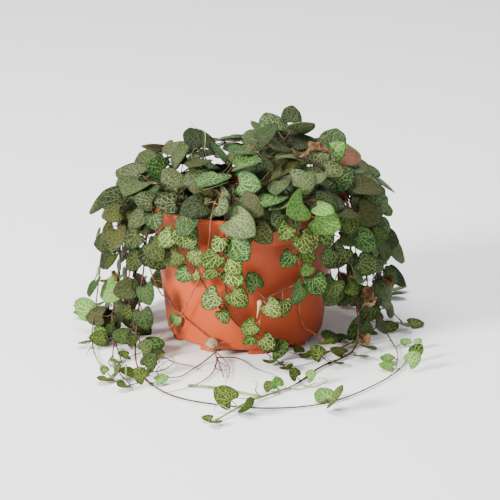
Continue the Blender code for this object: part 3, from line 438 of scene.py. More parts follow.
def keep_apart(routes):
    """Bends each stem clear of those before it, and of the pot."""
    placed = []
    for route in routes.values():
        tree = KDTree(max(1, len(placed)))
        for index, point in enumerate(placed):
            tree.insert(point, index)
        tree.balance()
        for _ in range(RELAX_ROUNDS):
            moved = False
            for k, share, point in samples_of(route):
                for near, _, distance in tree.find_range(point, STEM_CLEARANCE):
                    away = point - near
                    if distance < FIT:
                        away = Vector((0, 0, 1))
                    push = away.normalized() * (STEM_CLEARANCE - distance) * PUSH_SHARE
                    weights = (PUSH_BESIDE, 1 - share, share, PUSH_BESIDE)
                    for index, weight in enumerate(weights, k - 1):
                        if 1 < index < len(route):
                            route[index] += push * weight
                    moved = True
            for k in range(2, len(route)):
                clear_of_pot(route[k])
            if not moved:
                break
        placed += [point for _, _, point in samples_of(route)]
    return routes


routes = keep_apart(stem_routes())
stem_total = sum(lengths_along(route)[-1] for route in routes.values())
print("total length of the stems in m:", round(stem_total, 2))

# %% [markdown]
# ## Where the leaves grow
#
# On the real plant the leaves stand in pairs, one on each side of the stem, and turn their upper
# sides to the light: up on the mound, outwards beside the pot. Copies of one leaf scattered over
# the stems would cross each other, so each leaf is tried in up to fifty ways until it stays clear
# of the pot, of its own stem's blades and of the other stems. The trial leaf is coarse, as in the
# model.

# %% Sizes and habits of the leaves
PETIOLE_RADIUS = 0.00045
PETIOLE_ROOT = 0.45
PETIOLE_KEEL = 1.7
PETIOLE_SINK = 0.0001
BLADE_RISE = 0.00095
BLADE_CENTRE = 0.36
BLADE_MARGIN = 0.0009
OWN_MARGIN = 0.3 * BLADE_MARGIN
PETIOLE_MARGIN = 0.3
TOP_MARGIN = 0.7
LEAF_FLOOR_GAP = 0.0003
RIM_ANGLES = ((0.0185, (0.5, 1.2, 2.0)), (0.0, (0.75, 1.7)))
FIRST_LEAF = 0.010
LAST_LEAF = 0.8

# How often a leaf is tried, and how it slips along its stem: 0, 1 and 2 steps, over and over
LEAF_TRIES = 50
NODE_SLIP = 0.002
SLIP_ROUND = 3

# Heart outline, as shares of the blade's length: how far its lobes reach back beside the notch and
# how soon they end, half its width, and how round its lobes and how full its tip are
LOBE_BACK = 0.6
LOBE_END = 1.5
HALF_WIDTH = 0.58
LOBE_ROUND = 0.75
TIP_FULL = 0.16

# Where a leaf grows: on the mound, hanging or lying on the surface below
MOUND, HANGING, LYING = range(3)
MOUND_FLOOR = POT_HEIGHT - 0.004
LYING_TOP = 0.008

# The way a leaf points in each of those, besides across the stem: out from the pot, on along the
# stem and up, and what each later attempt adds to out and up
LEAF_WAYS = ((0.55, 0.25, 0.0), (0.15, 0.0, -0.9), (0.0, 0.45, 0.0))
CLEARING_WAYS = ((0.0, 0.007), (0.025, 0.0), (0.0, 0.0))

# Between which heights the leaves turn from hanging to spreading, and how far they drop below that
RIM_TURN = (POT_HEIGHT - 0.006, POT_HEIGHT + 0.018)
RIM_DROP = 0.8

# How a leaf leans: the radius at which it leans most, the heights between which it turns level near
# the surface and stands up on the pot's side, how far it leans on the mound, and its rise beside it
LEAN_RADIUS = 1.5 * RIM_RADIUS
FLOOR_TURN = (0.003, 0.012)
SIDE_TURN = (0.02, POT_HEIGHT)
MOUND_LEAN = 0.75
HANGING_RISE = 0.25
LEAST_ACROSS = 0.1

# What each leaf draws: the spread of its way and tilt, and what each later attempt adds; its size,
# its petiole as a share of that, what each later attempt takes from one and adds to the other, and
# how far its blade cups and droops
WANDER = (0.2, 0.009)
LEVEL_WANDER = 0.6
SIZES = (0.82, 1.18)
SHRINK = 0.006
REACH_GROWTH = 0.008
PETIOLES = (0.22, 0.42)
CUPS = (-0.25, 0.45)
DROOPS = (0.0, 0.22)
LYING_RISE = 0.15
LYING_LEAN = 0.6
LYING_TILT = 0.4
MOST_LIFT = 0.006

# How far leaves turn to the light, which comes from the front, left and above: the turn beside the
# pot, its share on the mound, and between which depths it fades towards the back
LIGHT_TURN = (-0.15, -0.7, 0.1)
MOUND_TURN = 0.3
LIT_DEPTH = (0.0, 0.05)

# Spacing of the leaf pairs and length of the blade, in millimetres: on the mound, hanging, lying
HABITS = {
    "leafy": ((17.5, 16.5), (21, 12.5), (62, 10)),
    "sparse": ((28, 18), (42, 16), (84, 10)),
    "slender": ((21, 15), (26, 11), (56, 8.5)),
}
print("kinds of place:", [MOUND, HANGING, LYING], "and habits:", list(HABITS))

# %% Which way a leaf turns
def facing(point):
    """The way a leaf faces: up on the mound, outwards below it, and towards the light."""
    out = Vector((point.x, point.y, 0))
    lean = min(1.0, out.length / LEAN_RADIUS)
    out = out.normalized() if out.length > FIT else Vector((0, -1, 0))
    over_rim = ease(point.z, *RIM_TURN)
    near_floor = 1 - ease(point.z, *FLOOR_TURN)
    up = max(over_rim, near_floor)
    level = mix(MOUND_LEAN * lean * ease(point.z, *SIDE_TURN), LYING_LEAN, near_floor)
    face = out * mix(1.0, level, up) + Vector((0, 0, mix(HANGING_RISE, 1.0, up)))
    lit = 1 - ease(point.y, *LIT_DEPTH)
    return (face + Vector(LIGHT_TURN) * lit * mix(1.0, MOUND_TURN, over_rim)).normalized()


def zone_of(point):
    """Where a leaf at a point grows."""
    if point.z > MOUND_FLOOR:
        return MOUND
    return HANGING if point.z > LYING_TOP else LYING


def leaf_pairs(name, route):
    """Distance along a stem, blade length and sides of each of its pairs of leaves."""
    if name in LEAF_PAIRS:
        pairs = []
        for distance, length, *side in LEAF_PAIRS[name]:
            pairs.append((distance * MM, length * MM, side or [-1, 1]))
        return pairs
    habit = HABITS[STEMS[name][2] if name in STEMS else "leafy"]
    total = lengths_along(route)[-1]
    distance = ROOT_DEPTH + FIRST_LEAF
    pairs = []
    while distance < total - STEM_RADIUS:
        point, _ = point_along(route, distance)
        spacing, length = habit[zone_of(point)]
        pairs.append((distance, length * MM, [-1, 1]))
        distance += spacing * MM
    pairs.append((total - STEM_RADIUS, LAST_LEAF * pairs[-1][1], [-1, 1]))
    return pairs


print("a leaf on top of the mound faces", [round(part, 2) for part in facing(at(0, 10, 120))])

# %% The coarse leaf
def outline(angle):
    """A heart's outline: how far along and across, for an angle from its notch to its tip."""
    lobe = LOBE_BACK * math.sin(angle) * (1 - angle / math.pi) ** LOBE_END
    along = (1 - math.cos(angle)) / 2 - lobe
    across = HALF_WIDTH * math.sin(angle) ** LOBE_ROUND * ((1 + math.cos(angle)) / 2) ** TIP_FULL
    return along, across


def blade_height(along, across, cup, droop):
    """How far a blade's middle surface lies above its base plane, as a share of its length."""
    return cup * across**2 - droop * max(along, 0.0) ** 2


def leaf_shape(length, cup, droop, petiole, margin=0.0):
    """A leaf's points and faces in its own frame, from its petiole's root to its tip along +X.

    The blade is a cone over its outline on top, and one from its notch underneath. The last three
    points are the petiole's root.
    """
    reach = length + 2 * margin
    half_petiole = PETIOLE_RADIUS + margin * PETIOLE_MARGIN
    side = [outline(angle) for angle in next(a for least, a in RIM_ANGLES if length >= least)]
    rim = [(0.0, half_petiole / reach), *side, (1.0, 0.0)]
    rim += [(along, -across) for along, across in reversed(rim[:-1])]
    points = []
    for along, across in rim:
        height = blade_height(along, across, cup, droop) * reach
        points.append(Vector((along * reach - margin, across * reach, height)))
    middle = blade_height(BLADE_CENTRE, 0.0, cup, droop) * reach
    rise = BLADE_RISE + margin * TOP_MARGIN
    points.append(Vector((BLADE_CENTRE * reach - margin, 0, middle + rise)))
    points.append(Vector((0, 0, -PETIOLE_KEEL * half_petiole)))
    points.append(Vector((-petiole, half_petiole * PETIOLE_ROOT, 0)))
    points.append(Vector((-petiole, -half_petiole * PETIOLE_ROOT, 0)))
    points.append(Vector((-petiole, 0, -PETIOLE_KEEL * half_petiole * PETIOLE_ROOT)))
    count = len(rim)
    top, keel, root_left, root_right, root_keel = range(count, count + 5)
    last = count - 1
    faces = [(top, b, a) for a, b in zip(range(count), range(1, count))]
    faces += [(keel, a, b) for a, b in zip(range(count), range(1, count))]
    faces += [(top, 0, last), (0, root_left, root_right), (0, root_right, last)]
    faces += [(0, keel, root_keel), (0, root_keel, root_left)]
    faces += [(last, root_right, root_keel), (last, root_keel, keel)]
    faces += [(root_left, root_keel, root_right)]
    return points, faces


def leaf_frame(start, direction, face, petiole):
    """The placing of a leaf whose petiole starts at a point and whose blade faces a way."""
    forward = direction.normalized()
    up = (face - forward * face.dot(forward)).normalized()
    left = up.cross(forward)
    turn = Matrix((forward, left, up)).transposed().to_4x4()
    return Matrix.Translation(start + forward * petiole) @ turn


print("triangles of the coarse leaf:", len(leaf_shape(0.018, 0, 0, 0.006)[1]))

# %% Trying a leaf in its place
def one_leaf(seed, point, along, side, length, attempt):
    """A leaf as its rule draws it: placing, length, cup, droop and petiole."""
    draw = random.Random(f"{seed} {attempt}")
    zone = zone_of(point)
    face = facing(point)
    across = along.cross(face)
    across = (across if across.length > LEAST_ACROSS else face.orthogonal()).normalized()
    out = Vector((point.x, point.y, 0)).normalized()
    outward, onward, upward = LEAF_WAYS[zone]
    more_outward, more_upward = CLEARING_WAYS[zone]
    spread = WANDER[0] + WANDER[1] * attempt
    direction = across * side + out * (outward + attempt * more_outward) + along * onward
    direction.z += upward + attempt * more_upward
    if zone == MOUND:
        direction.z -= RIM_DROP * (1 - ease(point.z, *RIM_TURN))
    wander = [draw.gauss(0, spread) for _ in range(3)]
    direction += Vector((wander[0], wander[1], LEVEL_WANDER * wander[2]))
    tilt = Vector([draw.gauss(0, spread) for _ in range(3)])
    if zone == LYING:
        direction.z = abs(direction.z) * LYING_RISE
        tilt *= LYING_TILT
    size = length * draw.uniform(*SIZES) * (1 - SHRINK * attempt)
    petiole = size * draw.uniform(*PETIOLES) * (1 + REACH_GROWTH * attempt) + STEM_RADIUS
    cup = draw.uniform(*CUPS)
    droop = draw.uniform(*DROOPS)
    if zone == LYING:
        droop = 0.0
        cup = abs(cup)
    frame = leaf_frame(point, direction, face + tilt, petiole)
    return frame, size, cup, droop, petiole


def placed_leaf(leaf, margin=0.0):
    """A leaf's points in place, and its faces."""
    frame, length, cup, droop, petiole = leaf
    points, faces = leaf_shape(length, cup, droop, petiole + PETIOLE_SINK, margin)
    return [frame @ point for point in points], faces


def blade_low(points):
    """The height of the lowest point of a leaf's blade."""
    return min(point.z for point in points[:-3])


def blade_tree(points, faces):
    """A search tree of a leaf's blade, without its petiole."""
    blade = [face for face in faces if max(face) < len(points) - 3]
    return BVHTree.FromPolygons(points, blade)


def leaf_fits(leaf, own, others, pot_tree):
    """Whether a leaf stays clear of the pot, of its own stem's blades, and of the other stems."""
    points, faces = placed_leaf(leaf, BLADE_MARGIN)
    if blade_low(points) < LEAF_FLOOR_GAP:
        return False
    low = [point for point in points if point.z < SOIL_TOP + SOIL_CLEARANCE]
    if any(math.hypot(point.x, point.y) < pot_radius_outside(point.z) for point in low):
        return False
    tree = BVHTree.FromPolygons(points, faces)
    if tree.overlap(pot_tree) or any(tree.overlap(other) for other in others):
        return False
    blade = blade_tree(points, faces)
    return not any(blade.overlap(other) for other in own)


def lift_off_floor(leaf):
    """The leaf raised until no part of its blade reaches the surface below it."""
    frame, length, cup, droop, petiole = leaf
    points, _ = placed_leaf(leaf, BLADE_MARGIN)
    lift = LEAF_FLOOR_GAP - blade_low(points)
    if MOST_LIFT > lift > 0:
        start = frame @ Vector((-petiole, 0, 0))
        notch = frame.translation + Vector((0, 0, lift + FIT))
        petiole = (notch - start).length
        up = frame.to_3x3() @ Vector((0, 0, 1))
        return leaf_frame(start, notch - start, up, petiole), length, cup, droop, petiole
    return leaf


print("attempts for each leaf:", LEAF_TRIES)

# %% What else grows on a stem
def stem_hull(route):
    """A search tree of a square tube round a route."""
    sides = 4
    points = []
    for k, point in enumerate(route):
        ahead = route[min(k + 1, len(route) - 1)] - route[max(k - 1, 0)]
        ahead.normalize()
        side = ahead.orthogonal().normalized()
        other = ahead.cross(side)
        for n in range(sides):
            turn = math.tau * n / sides
            offset = side * math.cos(turn) + other * math.sin(turn)
            points.append(point + offset * (STEM_RADIUS + FIT))
    faces = []
    for k in range(len(route) - 1):
        for n in range(sides):
            a, b = sides * k + n, sides * k + (n + 1) % sides
            faces.append((a, b, b + sides, a + sides))
    return BVHTree.FromPolygons(points, faces)


def nearest_point(points, target):
    """The one of some points that is nearest to a target."""
    return min(points, key=lambda point: (point - target).length)


def nearest_on(route, place):
    """The point of a route that is nearest to a place, given as azimuth, radius and height."""
    return nearest_point([point for _, _, point in samples_of(route)], at(*place))


def branch_routes(name, route):
    """The side branches of a stem, each as a line that starts on the stem."""
    places = BRANCHES.get(name)
    if not places:
        return []
    start = nearest_on(route, places[0])
    points = smooth_curve([start, *(at(*place) for place in places[1:])], 3)
    return [[start, *(clear_of_pot(point) for point in points[1:])]]


def tuber_balls(name, route):
    """Centre and radius of each tuber on a stem."""
    balls = []
    for place, diameter in TUBERS.get(name, []):
        radius = diameter * MM / 2
        centre = nearest_on(route, place).copy()
        centre.z = max(centre.z, radius * TUBER_FLATNESS + FIT)
        wall = Vector((centre.x, centre.y, 0))
        least = pot_radius_outside(centre.z) + radius + 2 * FIT
        if centre.z < POT_HEIGHT and wall.length < least:
            centre += wall.normalized() * (least - wall.length)
        balls.append((centre, radius))
    return balls


def bud_ends(name, route):
    """Where each bud on a stem starts, on the stem, and where its point is."""
    ends = []
    for first, last in BUDS.get(name, []):
        start = nearest_on(route, first)
        ends.append((start, start + at(*last) - at(*first)))
    return ends


def extra_hulls(name, route):
    """Search trees round the branches, tubers and buds of a stem."""
    lines = branch_routes(name, route)
    lines += [[start, end] for start, end in bud_ends(name, route)]
    hulls = [stem_hull(line) for line in lines]
    for centre, radius in tuber_balls(name, route):
        shape = bmesh.new()
        bmesh.ops.create_icosphere(shape, subdivisions=1, radius=TUBER_ROOM * radius)
        bmesh.ops.translate(shape, vec=centre, verts=shape.verts)
        hulls.append(BVHTree.FromBMesh(shape))
        shape.free()
    return hulls


print("stems with tubers:", list(TUBERS))

# %% Grow the leaves
def grow_leaves(routes, pot_tree):
    """The leaves of each stem, each placed by its rule where it stays clear of what came before."""
    stems = {name: [stem_hull(route), *extra_hulls(name, route)] for name, route in routes.items()}
    grown = {}
    trees = {name: list(group) for name, group in stems.items()}
    for name, route in routes.items():
        others = [tree for other, group in trees.items() if other != name for tree in group]
        own = list(stems[name])
        tip = lengths_along(route)[-1] - STEM_RADIUS
        leaves = []
        for node, (distance, length, sides) in enumerate(leaf_pairs(name, route)):
            for side in sides:
                seed = f"{name} {node} {side}"
                for attempt in range(LEAF_TRIES):
                    slip = random.Random(seed).choice((-1, 1)) * NODE_SLIP * (attempt % SLIP_ROUND)
                    point, along = point_along(route, min(distance + slip, tip))
                    leaf = lift_off_floor(one_leaf(seed, point, along, side, length, attempt))
                    if leaf_fits(leaf, own, others, pot_tree):
                        own.append(blade_tree(*placed_leaf(leaf, OWN_MARGIN)))
                        trees[name].append(BVHTree.FromPolygons(*placed_leaf(leaf)))
                        leaves.append(leaf)
                        break
        grown[name] = leaves
    return grown


def tree_of(node):
    """A search tree of the faces of one of the frame's nodes."""
    corners = [node.matrix_world @ vertex.co for vertex in node.data.vertices]
    return BVHTree.FromPolygons(corners, [face.vertices for face in node.data.polygons])


grown = grow_leaves(routes, tree_of(frame["nodes"]["pot"]))
print("leaves:", sum(len(leaves) for leaves in grown.values()))

# %% [markdown]
# ## Finishes made of nodes
#
# A leaf, a stem and a plastic pot each need their own surface, and each surface is a small graph of
# shader nodes. Wiring nodes by hand takes many lines, so the class below adds one node for each
# call and hands back its output, ready for the next call. Places are read from the object in
# millimetres, or from values stored on the mesh, and never from the camera, so the finish stays put
# from any side. A noise is given by its size in millimetres and its detail, and patches also by the
# two values that they fade between.

# %% A helper for node materials
class Finish:
    """A node material in the making: each method adds a node and gives its output."""

    def __init__(self, name, roughness, specular):
        self.material = bpy.data.materials.new(name)
        self.material.use_nodes = True
        self.tree = self.material.node_tree
        self.shader = self.tree.nodes["Principled BSDF"]
        self.shader.inputs["Roughness"].default_value = roughness
        self.shader.inputs["Specular IOR Level"].default_value = specular

    def put(self, socket, value):
        """Links an output to a socket, or sets the socket to a plain value."""
        if isinstance(value, bpy.types.NodeSocket):
            self.tree.links.new(value, socket)
        else:
            socket.default_value = value

    def add(self, kind, inputs, output=0, **settings):
        """Adds a node of a kind and gives one of its outputs."""
        node = self.tree.nodes.new("ShaderNode" + kind)
        for setting, value in settings.items():
            setattr(node, setting, value)
        for socket, value in inputs.items():
            self.put(node.inputs[socket], value)
        return node.outputs[output]

    def math(self, operation, first, second=0.0):
        """A sum, product or the like of two values."""
        return self.add("Math", {0: first, 1: second}, operation=operation)

    def times(self, first, second):
        """The product of two values."""
        return self.math("MULTIPLY", first, second)

    def plus(self, first, second):
        """The sum of two values."""
        return self.math("ADD", first, second)

    def scaled(self, value, least, more):
        """A value times one number, plus another."""
        return self.plus(least, self.times(value, more))

    def step(self, value, low, high):
        """0 where a value is low, 1 where it is high, and smooth between."""
        reach = {"Value": value, "From Min": low, "From Max": high}
        return self.add("MapRange", reach, interpolation_type="SMOOTHSTEP")

    def mix(self, share, first, second, blend="MIX"):
        """One colour laid over another."""
        inputs = {0: share, 6: first, 7: second}
        return self.add("Mix", inputs, 2, data_type="RGBA", blend_type=blend)

    def move(self, place, offset):
        """A place shifted by an offset."""
        return self.add("VectorMath", {0: place, 1: offset}, operation="ADD")

    def grow(self, place, factor):
        """A place or an offset made larger or smaller."""
        return self.add("VectorMath", {0: place, 3: factor}, operation="SCALE")

    def stretch(self, place, factors):
        """A place made larger or smaller by its own factor along each axis."""
        return self.add("VectorMath", {0: place, 1: factors}, operation="MULTIPLY")

    def parts(self, place):
        """The three parts of a place."""
        split = self.tree.nodes.new("ShaderNodeSeparateXYZ")
        self.put(split.inputs[0], place)
        return list(split.outputs)

    def place(self):
        """Where a point is on the object, in millimetres."""
        return self.grow(self.add("TexCoord", {}, "Object"), 1 / MM)

    def stored(self, name, output="Vector"):
        """A value stored on the mesh."""
        return self.add("Attribute", {}, output, attribute_name=name)

    def noise(self, place, size, detail, output=0):
        """Soft random noise of a size in millimetres."""
        return self.add("TexNoise", {"Vector": place, "Scale": 1 / size, "Detail": detail}, output)

    def patches(self, place, size, detail, low, high):
        """Patches of noise: 0 where it is low, 1 where it is high, and smooth between."""
        return self.step(self.noise(place, size, detail), low, high)

    def cracks(self, place, size):
        """Distance from the lines of an irregular net, as a share of its cells' size."""
        net = {"Vector": place, "Scale": 1 / size, "Randomness": 0.9}
        return self.add("TexVoronoi", net, voronoi_dimensions="2D", feature="DISTANCE_TO_EDGE")

    def bump(self, height, depth):
        """Relief of a depth in metres."""
        relief = self.add("Bump", {"Height": height, "Distance": depth})
        self.put(self.shader.inputs["Normal"], relief)

    def colour(self, colour):
        """Sets the colour of the surface and gives the finished material."""
        self.put(self.shader.inputs["Base Color"], colour)
        return self.material


print("kinds of step in a finish:", [name for name in vars(Finish) if not name.startswith("_")])

# %% [markdown]
# ## The nursery pot
#
# The pot is injection-moulded polypropylene: a tapered body, a taller collar that stops the next
# pot of a stack, a small lip, and feet that let water out under the base. A lathe shape is a
# profile turned about an axis, so a Screw modifier makes it. The model's pot has 32 flat sides and
# hard edges; here an arc rounds each corner of the profile, and the pot gets over five times the
# sides.

# %% Rounding the corners of a profile
MOST_TRIM = 0.45


def rounded(corners, steps=5):
    """A profile of (radius, height) points, each corner rounded by the radius given with it."""
    points = [Vector(corners[0][:2])]
    for before, corner, after in zip(corners, corners[1:], corners[2:]):
        here = Vector(corner[:2])
        back = Vector(before[:2]) - here
        on = Vector(after[:2]) - here
        half = back.angle(on) / 2
        trim = min(corner[2] / math.tan(half), MOST_TRIM * back.length, MOST_TRIM * on.length)
        centre = here + (back.normalized() + on.normalized()).normalized() * (trim / math.cos(half))
        first = here + back.normalized() * trim - centre
        last = here + on.normalized() * trim - centre
        turn = first.angle_signed(last)
        for k in range(steps + 1):
            points.append(centre + Matrix.Rotation(-turn * k / steps, 2) @ first)
    points.append(Vector(corners[-1][:2]))
    return points


for point in rounded([(0, 0), (1, 0, 0.3), (1, 1)], 2):
    print("a rounded right angle:", tuple(round(part, 2) for part in point))

# %% The pot's section
LEDGE = POT_HEIGHT - COLLAR_HEIGHT
LIP_RADIUS = mix(RIM_RADIUS, COLLAR_FOOT_RADIUS, LIP_HEIGHT / COLLAR_HEIGHT)
CREASE = 0.0004


def body_radius(height, inset):
    """The body's outer radius at a height, less an inset."""
    share = (height - FOOT_HEIGHT) / (LEDGE - FOOT_HEIGHT)
    return mix(BASE_RADIUS, BODY_TOP_RADIUS, share) - inset


floor_top = FOOT_HEIGHT + WALL
pot_section = rounded([
    (0, floor_top),
    (body_radius(floor_top, WALL), floor_top, CORNER_RADIUS - WALL),
    (body_radius(LEDGE, WALL), LEDGE + WALL, CREASE),
    (COLLAR_FOOT_RADIUS - WALL, LEDGE + WALL, CREASE),
    (RIM_RADIUS - WALL, POT_HEIGHT, CREASE),
    (RIM_RADIUS, POT_HEIGHT, 1.5 * CREASE),
    (LIP_RADIUS, POT_HEIGHT - LIP_HEIGHT, CREASE),
    (LIP_RADIUS - LIP_STEP, POT_HEIGHT - LIP_HEIGHT - LIP_STEP, CREASE),
    (COLLAR_FOOT_RADIUS, LEDGE, 1.5 * CREASE),
    (BODY_TOP_RADIUS, LEDGE, CREASE),
    (BASE_RADIUS, FOOT_HEIGHT, CORNER_RADIUS),
    (0, FOOT_HEIGHT)])
print("points in the pot's section:", len(pot_section))

# %% Turn the pot
POT_SIDES = 180
MERGE_DISTANCE = 0.00001
SHARP_ANGLE = math.radians(30)


def link_mesh(name, mesh, *materials):
    """A new object for a mesh, with its materials, linked to the scene."""
    piece = bpy.data.objects.new(name, mesh)
    bpy.context.scene.collection.objects.link(piece)
    for material in materials:
        mesh.materials.append(material)
    return piece


def turned(name, section, sides):
    """A solid turned about the Z axis from a section."""
    mesh = bpy.data.meshes.new(name)
    points = [(radius, 0, height) for radius, height in section]
    mesh.from_pydata(points, [(k, k + 1) for k in range(len(points) - 1)], [])
    piece = link_mesh(name, mesh)
    screw = piece.modifiers.new("turn", "SCREW")
    screw.steps = sides
    screw.render_steps = sides
    screw.use_merge_vertices = True
    screw.merge_threshold = MERGE_DISTANCE
    return piece


def final_mesh(carrier):
    """The mesh of an object as its modifiers or its bevel make it."""
    bpy.context.view_layer.update()
    evaluated = carrier.evaluated_get(bpy.context.evaluated_depsgraph_get())
    return bpy.data.meshes.new_from_object(evaluated)


def settle(piece):
    """Applies a piece's modifiers and shades it smooth, but for its sharp edges."""
    mesh = final_mesh(piece)
    piece.modifiers.clear()
    piece.data = mesh
    mesh.shade_smooth()
    mesh.set_sharp_from_angle(angle=SHARP_ANGLE)


pot = turned("nursery_pot", pot_section, POT_SIDES)
print("sides of the fine pot:", POT_SIDES)

# %% Feet and drain holes
FOOT_COUNT = 9
FOOT_SIZE = (0.0095, 0.0045)
FOOT_RADIUS = 0.0410
FOOT_FIRST_DEG = 9.0
DRAIN_COUNT = 6
DRAIN_RADIUS = 0.004
DRAIN_RING = 0.027
DRAIN_SIDES = 32


def mesh_of(name, shape):
    """A mesh made of a bmesh shape, which is freed."""
    mesh = bpy.data.meshes.new(name)
    shape.to_mesh(mesh)
    shape.free()
    return mesh


def cut_or_join(piece, operation, shape):
    """Joins a bmesh shape to a piece, or cuts it out, and removes the shape."""
    tool = link_mesh("tool", mesh_of("tool", shape))
    change = piece.modifiers.new("change", "BOOLEAN")
    change.operation = operation
    change.object = tool
    settle(piece)
    bpy.data.objects.remove(tool)


feet = bmesh.new()
for k in range(FOOT_COUNT):
    turn = FOOT_FIRST_DEG + 360 * k / FOOT_COUNT
    height = FOOT_HEIGHT + WALL / 2
    foot = bmesh.ops.create_cube(feet, size=1)["verts"]
    bmesh.ops.scale(feet, vec=(*FOOT_SIZE, height), verts=foot)
    bmesh.ops.rotate(feet, matrix=Matrix.Rotation(math.radians(turn), 3, "Z"), verts=foot)
    bmesh.ops.translate(feet, vec=at(turn, FOOT_RADIUS / MM, height / 2 / MM), verts=foot)
upright = [edge for edge in feet.edges if abs(edge.verts[0].co.z - edge.verts[1].co.z) > WALL]
bmesh.ops.bevel(feet, geom=upright, offset=2 * CREASE, segments=3, affect="EDGES")
cut_or_join(pot, "UNION", feet)

drains = bmesh.new()
for k in range(DRAIN_COUNT):
    place = at(360 * k / DRAIN_COUNT, DRAIN_RING / MM, FOOT_HEIGHT / MM)
    cone = bmesh.ops.create_cone(drains, cap_ends=True, segments=DRAIN_SIDES,
                                 radius1=DRAIN_RADIUS, radius2=DRAIN_RADIUS, depth=6 * WALL)
    bmesh.ops.translate(drains, vec=place, verts=cone["verts"])
cut_or_join(pot, "DIFFERENCE", drains)
print("triangles of the pot:", sum(len(face.vertices) - 2 for face in pot.data.polygons))

# %% [markdown]
# The plastic is satin, not glossy, and its terracotta colour is mixed through it. What keeps it
# from looking like paint is small: fine rings where the mould was turned, a faint grain, pale
# scuffs from other pots on the collar and near the base, and a trace of soil dust low down. These
# are noise, stretched along or around the pot, with wide random patches of a deeper tone. The pot's
# right side, away from the light, is painted darker: painted shade.

# %% Terracotta plastic
TERRACOTTA = (0.43, 0.068, 0.018, 1)
TERRACOTTA_DEEP = (0.30, 0.046, 0.014, 1)
SCUFF = (0.52, 0.16, 0.08, 1)
DUST = (0.20, 0.09, 0.05, 1)
# From the first to the second x place, in mm, the plastic darkens: shade painted on the right side
PAINTED_SHADE_SIDE = (-24, 14)
FADING = (34, 3)
FADING_STEP = (0.35, 0.7)
FADING_SHARE = 0.5
SCRATCH_STRETCH = (0.12, 0.12, 1.6)
SCRATCHES = (1.1, 4, 0.66, 0.78)
SCUFFED_AREAS = (12, 2, 0.5, 0.68)
SCUFF_SHARE = 0.35
DUSTY_HEIGHTS = (16, 0)
SPECKS = (0.8, 3, 0.55, 0.75)
DUST_SHARE = 0.3
RING_STRETCH = (0.01, 0.01, 2.2)
RINGS = (1.3, 1)
PLASTIC_GRAIN = (0.25, 1)
PLASTIC_RELIEF = 0.00003
PLASTIC_ROUGHNESS = (0.38, 0.14)


def terracotta_plastic():
    """Satin moulded plastic with turning rings, scuffs and dust, and shade painted on its right
    side.
    """
    plastic = Finish("terracotta_plastic", 0.42, 0.18)
    place = plastic.place()
    wide = plastic.noise(place, *FADING)
    patchy = plastic.times(plastic.step(wide, *FADING_STEP), FADING_SHARE)
    # The deep tone comes in random patches, and on the right side as painted shade
    deep = plastic.math("MAXIMUM", patchy, plastic.step(plastic.parts(place)[0], *PAINTED_SHADE_SIDE))
    colour = plastic.mix(deep, TERRACOTTA, TERRACOTTA_DEEP)
    scratches = plastic.patches(plastic.stretch(place, SCRATCH_STRETCH), *SCRATCHES)
    scuffs = plastic.times(scratches, plastic.patches(place, *SCUFFED_AREAS))
    colour = plastic.mix(plastic.times(scuffs, SCUFF_SHARE), colour, SCUFF)
    low = plastic.step(plastic.parts(place)[2], *DUSTY_HEIGHTS)
    dust = plastic.times(low, plastic.patches(place, *SPECKS))
    colour = plastic.mix(plastic.times(dust, DUST_SHARE), colour, DUST)
    rings = plastic.noise(plastic.stretch(place, RING_STRETCH), *RINGS)
    plastic.bump(plastic.plus(rings, plastic.noise(place, *PLASTIC_GRAIN)), PLASTIC_RELIEF)
    plastic.put(plastic.shader.inputs["Roughness"], plastic.scaled(wide, *PLASTIC_ROUGHNESS))
    return plastic.colour(colour)


pot.data.materials.append(terracotta_plastic())
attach(pot, "root")
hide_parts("pot")
print("nodes in the plastic:", len(pot.data.materials[0].node_tree.nodes))

# %% [markdown]
# ## The soil
#
# Potting soil is peat: dark crumbs and fibres, uneven on top and a little lower at the edge. It
# only shows between leaves and from the back, but it has to be there, or the pot looks hollow. A
# flat disc would shine through as a flat disc, so the plug's top is a fine grid raised by noise,
# with loose crumbs pressed into it.

# %% The plug of soil
SOIL_EDGE_DROP = 0.0015
SOIL_SIDES = 144
SOIL_RINGS = 56
SOIL_ROUGHNESS = 0.0011
SOIL_CALM = (0.94, 1.0)
SOIL_SLOPE = (0.6, 1.0)

# Size of the soil's waves and of its finer lumps, with how fast their octaves fade, how much finer
# each one is and how many there are, and then the share of each in the relief
SOIL_WAVES = (0.006, (0.9, 2.1, 4))
SOIL_LUMPS = (0.0021, (0.8, 2.0, 3))
WAVE_SHARE = 0.35
LUMP_SHARE = 0.4
RELIEF_SINK = 0.4


def soil_height(x, y, edge):
    """The height of the soil at a place, for a disc of a radius."""
    out = math.hypot(x, y) / edge
    waves = noise.fractal(Vector((x, y, 0)) / SOIL_WAVES[0], *SOIL_WAVES[1])
    lumps = noise.fractal(Vector((x, y, 0.01)) / SOIL_LUMPS[0], *SOIL_LUMPS[1])
    calm = 1 - ease(out, *SOIL_CALM)
    relief = SOIL_ROUGHNESS * calm * (WAVE_SHARE * waves + LUMP_SHARE * lumps - RELIEF_SINK)
    return SOIL_TOP - SOIL_EDGE_DROP * ease(out, *SOIL_SLOPE) + relief


